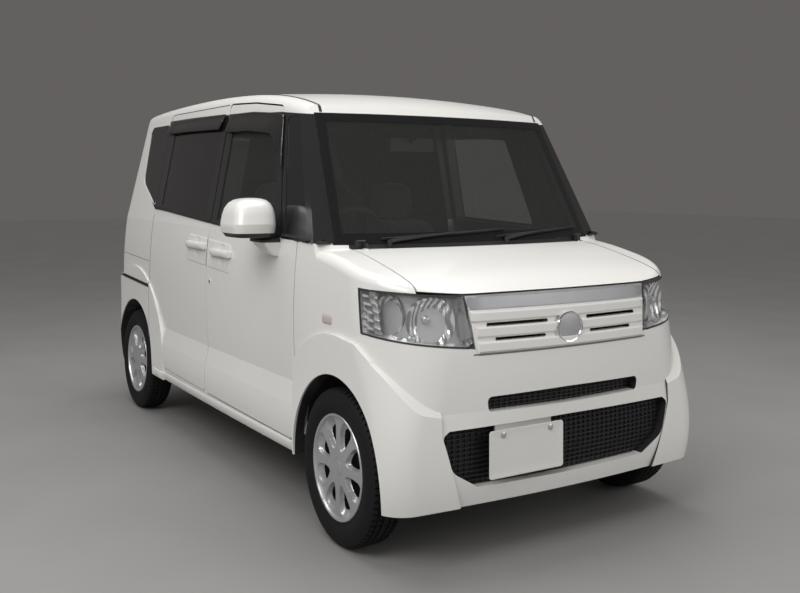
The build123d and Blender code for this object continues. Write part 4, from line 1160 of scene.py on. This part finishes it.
def door_mirror(side):
    """A painted mirror housing on a wedge foot, its lower edge and neck black."""
    body = DOOR_BODIES[side]
    tail = SIDE_NAMES[side]
    sections = []
    for z, x_rear, x_front, y_in, y_out, r in MIRROR_ROWS:
        small = min(0.016, r)
        corners = [(x_front, y_in, r), (x_front, y_out, r), (x_rear, y_out, small), (x_rear, y_in, small)]
        sections.append(level_ring(side, z, corners, 8))
    columns = len(sections[0])
    verts, faces = skin(sections)
    picks = [1 if face[0] < MIRROR_DARK_ROWS * columns else 0 for face in faces] + [1, 0]
    faces += [first_cap(columns), last_cap(verts, columns)]
    housing = add_piece("mirror_housing_" + tail, verts, faces, TRIM_PAINT, body, 28.0, picks,
                        (BLACK_SATIN,))
    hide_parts("door_mirror_" + tail)
    mirror_glass(side, body)
    neck = []
    for z, low, high, y_out in NECK_ROWS:
        corners = [(high, NECK_IN, 0.004), (high, y_out, 0.022), (low, y_out, 0.030), (low, NECK_IN, 0.004)]
        neck.append(level_ring(side, z, corners, 5))
    loft_piece("mirror_neck_" + tail, neck, BLACK_SATIN, body)
    mirror_foot(side, body)


# Door handles: body key, first and last x of the bar, its height, plate's first and last x
HANDLES = [("front", 0.006, 0.244, 0.980, -0.054, 0.240),
           ("slide", -0.339, -0.081, 1.000, -0.358, -0.0695)]
HANDLE_HALF = 0.0155
HANDLE_REACH = 0.019
HANDLE_STEPS = 40
HANDLE_SECTION = [(-1.0, 0.0), (-1.02, 0.55), (-0.86, 0.88), (-0.45, 1.0), (0.45, 1.0), (0.86, 0.88),
                  (1.02, 0.55), (1.0, 0.0)]
PLATE_RISE = 0.0028
PLATE_SUNK = 0.0002
PLATE_LOW, PLATE_TOP = 0.905, 1.040
PLATE_BEND = 0.035
CUP_HALF = (0.047, 0.060)


def bare_side_y(x, z, bar_z):
    """The door's skin behind a handle's bar."""
    low, high = bar_z - HANDLE_REACH, bar_z + HANDLE_REACH
    if low < z < high:
        share = (z - low) / (high - low)
        return side_y(x, low) * (1 - share) + side_y(x, high) * share
    return side_y(x, z)


def handle_plate(side, name, body, low_x, high_x, bar_z, cup_x):
    """A raised plate with a round cup behind the bar."""
    tall = PLATE_TOP - PLATE_LOW

    def place(u, v):
        x = low_x + (high_x - low_x) * u
        z = PLATE_LOW - 0.045 * (x + 0.06) + tall * v
        outer_end = (x - low_x) if name == "slide" else (high_x - x)
        corner = min(1.0, outer_end / PLATE_BEND)
        inset = PLATE_BEND * (1 - sqrt(max(0.0, 1 - (1 - corner) ** 2)))
        level = min(v, 1 - v) * tall - inset
        rise = smooth_step(0.0, 0.007, level) * smooth_step(0.0, 0.006, outer_end)
        rise *= smooth_step(0.55, 1.0, hypot((x - cup_x) / CUP_HALF[0], (z - bar_z + 0.005) / CUP_HALF[1]))
        return Vector((x, side * (bare_side_y(x, z, bar_z) - PLATE_SUNK + PLATE_RISE * rise), z))

    label = "handle_plate_%s_%s" % (name, SIDE_NAMES[side])
    grid_piece(label, 72, 44, place, TRIM_PAINT, body, smooth=60.0)


def handle_bar(side, name, body, low_x, high_x, bar_z):
    """A grip bar bowed out from the door, thinner at its ends."""
    sections = []
    for i in range(HANDLE_STEPS + 1):
        t = i / HANDLE_STEPS
        x = low_x - 0.004 + (high_x - low_x + 0.008) * t
        end = min(t, 1 - t) * (high_x - low_x)
        taper = smooth_step(-0.004, 0.014, end)
        door_y = bare_side_y(min(max(x, low_x), high_x), bar_z, bar_z)
        half = HANDLE_HALF * (0.80 + 0.20 * taper)
        out = max(0.7512, door_y + 0.016) + 0.004 * smooth_step(0.0, 0.06, end) - 0.010 * (1 - taper)
        inner = door_y - 0.004
        sections.append([Vector((x, side * (inner + (out - inner) * reach), bar_z + half * share))
                         for share, reach in HANDLE_SECTION])
    loft_piece("handle_bar_%s_%s" % (name, SIDE_NAMES[side]), sections, TRIM_PAINT, body, 35.0)


# Door lock on the right: place, radius and rise
LOCK_X, LOCK_Z, LOCK_R, LOCK_RISE = -0.012, 0.839, 0.012, 0.0025
LOCK_STEPS = 28
LOCK_RIM_ROWS = 3
LOCK_PROFILE = [(1.0, -0.4), (1.0, 0.7), (0.9, 1.0), (0.72, 1.0), (0.66, 0.5), (0.02, 0.45)]


def door_lock():
    """A small round lock with a dark middle."""
    centre = on_side(RIGHT, LOCK_X, LOCK_Z, 0.0)
    out = ACROSS * (RIGHT * LOCK_RISE)
    verts, faces = turned(centre, FORWARD * LOCK_R, UP * LOCK_R, out, LOCK_PROFILE, LOCK_STEPS)
    picks = [1 if face[0] >= LOCK_RIM_ROWS * LOCK_STEPS else 0 for face in faces]
    add_piece("door_lock_right", verts, faces, TRIM_PAINT, DOOR_BODIES[RIGHT], 35.0, picks, (BLACK_SATIN,))


# Side marker: first and last x, middle height and half height
MARKER_LOW_X, MARKER_HIGH_X = 1.146, 1.232
MARKER_Z, MARKER_HALF = 0.806, 0.020


def side_marker(side):
    """A small clear repeater lamp on the wing."""

    def place(u, v):
        end = min(u, 1 - u) * (MARKER_HIGH_X - MARKER_LOW_X)
        half = MARKER_HALF * min(1.0, sqrt(max(0.0, 1 - (1 - min(end / 0.020, 1.0)) ** 2)) + 0.02)
        x = MARKER_LOW_X + (MARKER_HIGH_X - MARKER_LOW_X) * u
        dome = (1 - (2 * v - 1) ** 4) * smooth_step(0.0, 0.016, end)
        return on_side(side, x, MARKER_Z + half * (2 * v - 1), -0.0015 + 0.0075 * dome)

    grid_piece("side_marker_" + SIDE_NAMES[side], 25, 11, place, MARKER, SHELL)


# Wipers: pivot y, blade's first and last y, blade's height at each end
WIPERS = [(-0.430, -0.460, 0.110, 1.084, 1.112), (0.110, 0.060, 0.555, 1.083, 1.108)]
BLADE_STEPS = 16
BLADE_W, BLADE_H, BLADE_STAND, SPINE_STAND = 0.005, 0.011, 0.006, 0.007
ARM_WIDTHS, ARM_HEIGHTS = [0.018, 0.016, 0.011, 0.008], [0.010, 0.009, 0.007, 0.006]
WIPER_UP = Vector((0.75, 0, 0.66))
PIVOT_Z = 1.078
PIVOT_SHIFT = Vector((0.010, 0, 0.002))
PIVOT_R = 0.010
PIVOT_PROFILE = [(1.0, -0.026), (1.0, 0.003), (0.8, 0.006), (0.05, 0.007)]
SCREEN_SKIN = surface("windscreen")


def on_screen(y, z, proud):
    """A point on the windscreen seen from the front, standing proud along its normal."""
    hit, normal = SCREEN_SKIN.ray_cast(Vector((FAR, y, z)), -FORWARD)[:2]
    if hit is None:
        return Vector((1.16, y, z))
    return hit + normal * proud


def wipers():
    """Two wipers parked along the foot of the windscreen."""
    parts = []
    for pivot_y, low_y, high_y, low_z, high_z in WIPERS:
        shares = [i / BLADE_STEPS for i in range(BLADE_STEPS + 1)]
        blade = [on_screen(low_y + (high_y - low_y) * t, low_z + (high_z - low_z) * t, BLADE_STAND)
                 for t in shares]
        spine = [p + WIPER_UP * SPINE_STAND for p in blade]
        parts.append(straight_bar(blade, BLADE_W, BLADE_H, WIPER_UP))
        widths = [0.005 + 0.004 * sin(pi * t) for t in shares]
        parts.append(bar_between(spine, widths, [0.005] * len(spine), WIPER_UP))
        pivot = on_screen(pivot_y, PIVOT_Z, 0.0) + PIVOT_SHIFT
        middle = spine[9]
        arm = [pivot, pivot.lerp(middle, 0.12) + WIPER_UP * 0.004,
               pivot.lerp(middle, 0.55) + WIPER_UP * 0.005, middle + WIPER_UP * 0.003]
        parts.append(bar_between(arm, ARM_WIDTHS, ARM_HEIGHTS, WIPER_UP))
        parts.append(turned(pivot, FORWARD * PIVOT_R, ACROSS * PIVOT_R, UP, PIVOT_PROFILE, 20))
    obj = add_parts("wiper_arms", parts, BLACK_MATTE, SHELL, 35.0)
    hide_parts("front_wipers")


# Windscreen's black border: half widths at the foot and top, and the band's widths
SCREEN_FOOT_Z, SCREEN_TOP_Z = 1.071, 1.594
SCREEN_HALF = (0.637, 0.590)
BORDER_SIDE, BORDER_FOOT, BORDER_TOP = 0.034, 0.040, 0.032
BORDER_STEPS = 30


def screen_border():
    """The printed black edge of the windscreen, run round from its lower right corner."""
    level = [2 * i / BORDER_STEPS - 1 for i in range(BORDER_STEPS + 1)]
    climb = [i / BORDER_STEPS for i in range(1, BORDER_STEPS)]
    places = [(share, 0.0) for share in level] + [(1.0, t) for t in climb]
    places += [(-share, 1.0) for share in level] + [(-1.0, 1 - t) for t in climb]
    tall = SCREEN_TOP_Z - SCREEN_FOOT_Z
    verts = []
    for share, t in places:
        half = SCREEN_HALF[0] + (SCREEN_HALF[1] - SCREEN_HALF[0]) * t
        y0, z0 = share * half, SCREEN_FOOT_Z + tall * t
        y1 = share * (half - BORDER_SIDE)
        z1 = SCREEN_FOOT_Z + BORDER_FOOT + (tall - BORDER_FOOT - BORDER_TOP) * t
        verts += [on_screen(y0 + (y1 - y0) * k / 3, z0 + (z1 - z0) * k / 3, 0.0008) for k in range(4)]
    add_piece("windscreen_border", verts, quads(len(places), 4, wrap_rows=True), BLACK_GLOSS, SHELL, 60.0)


# Seats: middle distance from the centre line; cushion, back and headrest as x, z, half sizes and lean
FRONT_SEAT = {"y": 0.335, "cushion": (0.225, 0.452, 0.245, 0.232, 0.092, 4.0),
              "back": (0.0, 0.835, 0.068, 0.228, 0.300, 13.5),
              "head": (-0.145, 1.212, 0.044, 0.118, 0.092, 6.0)}
REAR_SEAT = {"y": 0.285, "cushion": (-0.765, 0.552, 0.205, 0.236, 0.088, 4.0),
             "back": (-0.972, 0.860, 0.060, 0.232, 0.240, 9.0),
             "head": (-1.068, 1.182, 0.040, 0.108, 0.080, 5.0)}
SEAT_POWERS = [("cushion", 4.5), ("back", 5.0), ("head", 3.6)]
PILLOW_CUTS = 14
SEAT_REMESH = 0.010
SWELL_CAP = 0.024
SWELL_FRAMES = 20
SEAM_SHARE, SEAM_DEPTH, SEAM_WIDTH = 0.56, 0.007, 0.007


def pillow(spot, power):
    """A soft block: a cube's points drawn in to a rounded form, leaning back by an angle."""
    x, z, half_x, half_y, half_z, lean = spot
    build = bmesh.new()
    bmesh.ops.create_cube(build, size=2.0)
    bmesh.ops.subdivide_edges(build, edges=build.edges[:], cuts=PILLOW_CUTS, use_grid_fill=True)
    turn = radians(lean)
    verts = []
    for v in build.verts:
        a, b, c = v.co
        norm = (abs(a) ** power + abs(b) ** power + abs(c) ** power) ** (1 / power)
        a, b, c = a / norm * half_x, b / norm * half_y, c / norm * half_z
        verts.append(Vector((x + a * cos(turn) - c * sin(turn), b, z + a * sin(turn) + c * cos(turn))))
    build.verts.index_update()
    faces = [tuple(v.index for v in face.verts) for face in build.faces]
    build.free()
    return verts, faces


def swollen(obj):
    """Remeshes a piece and lets cloth pressure fill it, capping how far it moves."""
    remesh = obj.modifiers.new("remesh", "REMESH")
    remesh.mode = "VOXEL"
    remesh.voxel_size = SEAT_REMESH
    bpy.context.view_layer.objects.active = obj
    obj.select_set(True)
    bpy.ops.object.modifier_apply(modifier="remesh")
    start = [v.co.copy() for v in obj.data.vertices]
    cloth_mod = obj.modifiers.new("cloth", "CLOTH")
    settings = cloth_mod.settings
    settings.use_pressure = True
    settings.uniform_pressure_force = 4.0
    settings.quality = 4
    settings.tension_stiffness = 12.0
    settings.compression_stiffness = 12.0
    settings.effector_weights.gravity = 0.0
    cloth_mod.point_cache.frame_start = 1
    cloth_mod.point_cache.frame_end = SWELL_FRAMES
    for step in range(1, SWELL_FRAMES + 1):
        scene.frame_set(step)
    shape = obj.evaluated_get(bpy.context.evaluated_depsgraph_get()).to_mesh()
    ends = [v.co.copy() for v in shape.vertices]
    obj.modifiers.remove(cloth_mod)
    scene.frame_set(1)
    for v, before, after in zip(obj.data.vertices, start, ends):
        move = after - before
        if move.length > SWELL_CAP:
            move = move * (SWELL_CAP / move.length)
        v.co = before + move
    obj.data.shade_smooth()


def sew(obj, seam):
    """Presses a sewn line at each bolster, a distance from the seat's middle."""
    for v in obj.data.vertices:
        y = v.co.y
        for line in (seam, -seam):
            off = (y - line) / SEAM_WIDTH
            if abs(off) < 3.0:
                press = SEAM_DEPTH * exp(-off * off)
                v.co.x -= press * 0.5 * (1 if v.normal.x > 0.2 else 0)
                v.co.z -= press * (1 if v.normal.z > 0.5 else 0)


def seat_set(label, plan, node):
    """A pair of seats, one swollen by pressure and copied across."""
    first = None
    for part, power in SEAT_POWERS:
        verts, faces = pillow(plan[part], power)
        obj = add_piece("%s_%s_right" % (label, part), verts, faces, CLOTH, SHELL, 60.0)
        swollen(obj)
        if part != "head":
            sew(obj, plan["cushion"][3] * SEAM_SHARE)
        for v in obj.data.vertices:
            v.co.y -= plan["y"]
        smooth = obj.modifiers.new("smooth", "SUBSURF")
        smooth.levels = 1
        smooth.render_levels = 1
        bpy.ops.object.modifier_apply(modifier="smooth")
        twin = bpy.data.objects.new("%s_%s_left" % (label, part), obj.data.copy())
        for v in twin.data.vertices:
            v.co.y = -v.co.y
        twin.data.flip_normals()
        scene.collection.objects.link(twin)
        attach(twin, SHELL)
        obj.select_set(False)
        first = first or obj
    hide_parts(node)


# Seat frames: tracks either side of a front seat's middle, plinths under the rear seats, headrest posts
TRACK_OFF, TRACK_Z = 0.17, 0.288
PLINTH_Z = 0.365
POST_OFF = 0.045


def seat_frames():
    """Runners and plinths under the seats and posts under the headrests."""
    parts = []
    for side in (RIGHT, LEFT):
        for off in (-TRACK_OFF, TRACK_OFF):
            y = side * (FRONT_SEAT["y"] + off)
            parts.append(straight_bar([Vector((x, y, TRACK_Z)) for x in (0.0, 0.2, 0.4)], 0.045, 0.028, UP))
            for x in (0.04, 0.36):
                leg = [Vector((x, y, 0.28)), Vector((x + 0.01, y, 0.40))]
                parts.append(straight_bar(leg, 0.03, 0.06, FORWARD))
        y = side * REAR_SEAT["y"]
        parts.append(straight_bar([Vector((x, y, PLINTH_Z)) for x in (-0.62, -0.87)], 0.40, 0.18, UP))
        for plan in (FRONT_SEAT, REAR_SEAT):
            head, back = plan["head"], plan["back"]
            for off in (-POST_OFF, POST_OFF):
                y = side * (plan["y"] + off)
                post = [Vector((head[0] + 0.018, y, back[1] + back[4] - 0.06)),
                        Vector((head[0] + 0.004, y, head[1]))]
                parts.append(straight_bar(post, 0.011, 0.011, FORWARD))
    add_parts("seat_frames", parts, CHASSIS, SHELL, 35.0)


# Dashboard: hood over the instruments, and each vent's middle and half width
HOOD_ROWS, HOOD_STEPS = 9, 24
HOOD_Y, HOOD_Z = -0.320, 1.010
VENTS = [(0.0, 0.105), (-0.50, 0.050), (0.50, 0.050)]
VENT_X, VENT_Z, VENT_PITCH = 0.575, 0.895, 0.020


def dash_details():
    """Instrument hood and vent slats on the dash."""
    turns = [2 * pi * j / HOOD_STEPS for j in range(HOOD_STEPS)]
    hood = []
    for i in range(HOOD_ROWS):
        x = 0.60 + 0.20 * i / (HOOD_ROWS - 1)
        z = HOOD_Z + 0.050 * sin(pi * min(1.0, 0.25 + i / 10))
        half = 0.20 * (1 - 0.02 * i)
        hood.append([Vector((x, HOOD_Y + half * sin(a), z + 0.020 * cos(a))) for a in turns])
    parts = [skin(hood)]
    for y, half in VENTS:
        for row in range(5):
            slat = [Vector((VENT_X, y + end * half, VENT_Z + VENT_PITCH * row)) for end in (-1, 1)]
            parts.append(straight_bar(slat, 0.012, 0.004, UP))
    add_parts("dash_details", parts, BLACK_SATIN, SHELL)


# Tail
GATE = "tailgate_body"
REAR_PLATE_Z = 0.800
# Level strips: name, half length, height, half width, how proud, look, body and section
TAIL_STRIPS = [
    ("plate_lower_lip", 0.185, 0.700, 0.008, 0.010, TRIM_PAINT, GATE, MOULDING),
    ("tail_garnish", 0.330, 0.925, 0.022, 0.020, SATIN_CHROME, GATE, BAR_SECTION),
    ("garnish_underside", 0.320, 0.901, 0.006, 0.012, BLACK_SATIN, GATE, MOULDING),
    ("stop_lamp", 0.150, 1.652, 0.011, 0.006, RED_LENS, GATE, MOULDING),
    ("rear_bumper_band", 0.520, 0.262, 0.022, 0.003, BLACK_MATTE, SHELL, MOULDING),
]
REFLECTOR_IN, REFLECTOR_OUT, REFLECTOR_Z = 0.505, 0.615, 0.405
REFLECTOR_HALF, REFLECTOR_PROUD = 0.014, 0.005
REAR_WIPER_Z = 1.150
REAR_BLADE_STEPS = 12
REAR_CAP_R = 0.022
REAR_CAP_PROFILE = [(1.0, -0.010), (1.0, 0.010), (0.8, 0.016), (0.05, 0.019)]
REAR_WIPER_OUT = Vector((-1, 0, 0.25))


def rear_wiper():
    """The wiper on the tailgate, with the cap over its pivot."""
    pivot = Vector((tail_x(0.0, REAR_WIPER_Z) - 0.012, 0.0, REAR_WIPER_Z))
    parts = [turned(pivot, ACROSS * REAR_CAP_R, UP * REAR_CAP_R, -FORWARD, REAR_CAP_PROFILE, 24)]
    blade = []
    for i in range(REAR_BLADE_STEPS + 1):
        y = 0.06 + 0.34 * i / REAR_BLADE_STEPS
        z = REAR_WIPER_Z + 0.012 + 0.030 * i / REAR_BLADE_STEPS
        blade.append(Vector((tail_x(y, z) - 0.008, y, z)))
    parts.append(straight_bar(blade, 0.006, 0.012, REAR_WIPER_OUT))
    arm = [pivot, pivot + Vector((-0.014, 0.06, 0.006)), blade[7] + REAR_WIPER_OUT * 0.012]
    parts.append(bar_between(arm, [0.026, 0.020, 0.012], [0.014, 0.011, 0.008], REAR_WIPER_OUT))
    add_parts("rear_wiper", parts, BLACK_SATIN, GATE, 35.0)


def tail_pieces():
    """Plate, garnish, stop lamp, reflectors and wiper on the back."""
    blank_plate("rear_plate", GATE, (tail_x(0.0, REAR_PLATE_Z) - 0.006, 0.0, REAR_PLATE_Z), -1)
    for name, reach, z, half, proud, look, body, section in TAIL_STRIPS:
        tail_strip(name, [(-reach, z), (reach, z)], half, proud, look, body, section)
    for side in (RIGHT, LEFT):
        line = [(side * REFLECTOR_IN, REFLECTOR_Z), (side * REFLECTOR_OUT, REFLECTOR_Z)]
        tail_strip("reflector_" + SIDE_NAMES[side], line, REFLECTOR_HALF, REFLECTOR_PROUD, RED_LENS, SHELL)
    rear_wiper()


# Panel seams and roof
SEAMS = [("quarter", [(-1.542, 0.882), (-1.000, 0.865)]),
         ("slide_rear", [(-0.9875, 0.330), (-0.9875, 1.130)])]
SEAM_HALF, SEAM_PROUD = 0.0017, 0.0007
QUARTER_CORNER = [(-1.065, 1.197), (-0.9885, 1.1645)]
CORNER_HALF, CORNER_PROUD = 0.0100, 0.0012
ROOF_SKIN = surface("roof_panel", "body_side_right", "body_side_left")
DITCH_Y, DITCH_HALF, DITCH_RISE = 0.566, 0.006, 0.0022
DITCH_RUN = (-1.380, 0.784)
DITCH_FOOT_Z = 1.601
DITCH_STEPS, LIP_STEPS = 59, 6


def roof_z(x, y):
    """The roof's height."""
    hit = ROOF_SKIN.ray_cast(Vector((x, -abs(y), FAR)), -UP)[0]
    return hit.z if hit is not None else 1.70


def roof_moulding(side):
    """A moulding along the roof's ditch and down over its front edge."""
    section = [(DITCH_Y + DITCH_HALF * share, DITCH_RISE * height) for share, height in MOULDING]
    rear, front = DITCH_RUN
    sections = []
    for i in range(DITCH_STEPS + 1):
        x = rear + (front - rear) * i / DITCH_STEPS
        sections.append([Vector((x, side * y, roof_z(x, y) + rise)) for y, rise in section])
    top = roof_z(front, DITCH_Y)
    for i in range(1, LIP_STEPS + 1):
        z = top + (DITCH_FOOT_Z - top) * i / LIP_STEPS
        sections.append([Vector((seen_x(ROOF_SKIN, 1, -y, z, front) + rise, side * y, z))
                         for y, rise in section])
    loft_piece("roof_moulding_" + SIDE_NAMES[side], sections, BLACK_SATIN, SHELL)


def seams_and_roof():
    """Thin seam lines on the flanks and the mouldings in the roof's ditches."""
    for side in (RIGHT, LEFT):
        tail = SIDE_NAMES[side]
        side_strip("quarter_corner_" + tail, side, SHELL, QUARTER_CORNER, CORNER_HALF, CORNER_PROUD,
                   BLACK_GLOSS)
        for name, line in SEAMS:
            side_strip("seam_%s_%s" % (name, tail), side, SHELL, line, SEAM_HALF, SEAM_PROUD, SEAM_AND_SHADOW_GREY)
        roof_moulding(side)


# Studio
FILL_GREY = colour(0.46, 0.455, 0.445)
BACKDROP_GREY = colour(0.125, 0.118, 0.114)
FRONT_WALL = colour(0.48, 0.475, 0.465)
FLOOR_LOW, FLOOR_HIGH = colour(0.245, 0.240, 0.235), colour(0.265, 0.260, 0.255)
FLOOR_HALF = 30
# Soft boxes: name, place, aim, size and power
SOFT_BOXES = [
    ("key", (3.0, -4.5, 5.0), (0.3, 0, 0.8), (4.0, 3.0), 210.0),
    ("top", (-0.3, 0.0, 5.2), (0, 0, 0.5), (5.0, 3.0), 180.0),
    ("front", (6.0, 3.0, 3.0), (0.8, 0, 0.7), (3.0, 2.5), 70.0),
]


def camera():
    """The photograph's camera."""
    right = Vector(CAMERA_RIGHT).normalized()
    back = -Vector(CAMERA_FORWARD).normalized()
    up = back.cross(right).normalized()
    right = up.cross(back)
    data = bpy.data.cameras.new("camera")
    obj = bpy.data.objects.new("camera", data)
    scene.collection.objects.link(obj)
    data.sensor_fit = "HORIZONTAL"
    data.sensor_width = SENSOR
    data.lens = FOCAL_PX * SENSOR / IMAGE_W
    data.shift_x, data.shift_y = CENTRE_SHIFT
    data.clip_end = 100.0
    turn = Matrix((right, up, back)).transposed().to_4x4()
    obj.matrix_world = Matrix.Translation(Vector(CAMERA_AT)) @ turn
    scene.camera = obj


def eased(tree, socket, low, high):
    """0 at low, 1 at high, smooth between."""
    node = tree.nodes.new("ShaderNodeMapRange")
    node.interpolation_type = "SMOOTHSTEP"
    dress(tree, node, {"From Min": low, "From Max": high, "Value": socket})
    return node.outputs["Result"]


def area_light(name, at, aim, size, power):
    """A soft box pointed at a spot."""
    data = bpy.data.lights.new(name, "AREA")
    data.shape = "RECTANGLE"
    data.size, data.size_y = size
    data.energy = power
    obj = bpy.data.objects.new(name, data)
    scene.collection.objects.link(obj)
    obj.location = at
    way = Vector(aim) - Vector(at)
    obj.rotation_euler = way.to_track_quat("-Z", "Y").to_euler()


def pale_floor():
    """A wide floor under the car."""
    mesh = bpy.data.meshes.new("floor")
    corners = [(a * FLOOR_HALF, b * FLOOR_HALF, 0) for a, b in ((-1, -1), (1, -1), (1, 1), (-1, 1))]
    mesh.from_pydata(corners, [], [(0, 1, 2, 3)])
    floor = bpy.data.objects.new("floor", mesh)
    scene.collection.objects.link(floor)
    mat, tree, shader = node_tree("floor")
    look = ramp(tree, noise_socket(tree, 1.5, 4.0), FLOOR_LOW, FLOOR_HIGH)
    dress(tree, shader, {"Base Color": look, "Roughness": 0.6})
    mesh.materials.append(mat)


def studio():
    """Pale floor, three soft boxes, and a world that lights in one grey and is seen in two others."""
    pale_floor()
    world = bpy.data.worlds.new("studio")
    scene.world = world
    world.use_nodes = True
    tree = world.node_tree
    rays = tree.nodes.new("ShaderNodeLightPath")
    seen = sum_node(tree, "MAXIMUM", rays.outputs["Is Camera Ray"], rays.outputs["Is Glossy Ray"])
    seen = sum_node(tree, "MAXIMUM", seen, rays.outputs["Is Transmission Ray"])
    way = split(tree, "Generated")
    front = all_of(tree, eased(tree, way[0], 0.1, 0.7), eased(tree, way[2], 0.65, 0.30))
    wall = mixed(tree, front, BACKDROP_GREY, FRONT_WALL)
    dress(tree, tree.nodes["Background"], {"Color": mixed(tree, seen, FILL_GREY, wall)})
    for box in SOFT_BOXES:
        area_light(*box)


wheels()
headlamps()
grille()
bumper_mesh()
blank_plate("front_plate", SHELL, FRONT_PLATE_AT, 1)
side_trim()
for side in (RIGHT, LEFT):
    door_mirror(side)
    for name, low_x, high_x, bar_z, plate_low, plate_high in HANDLES:
        body = DOOR_BODIES[side] if name == "front" else SHELL
        handle_plate(side, name, body, plate_low, plate_high, bar_z, (low_x + high_x) / 2)
        handle_bar(side, name, body, low_x, high_x, bar_z)
    side_marker(side)
door_lock()
wipers()
screen_border()
seat_set("front_seat", FRONT_SEAT, "front_seats")
seat_set("rear_seat", REAR_SEAT, "rear_seat")
seat_frames()
dash_details()
tail_pieces()
seams_and_roof()
camera()
studio()
scene.view_settings.view_transform = "Standard"
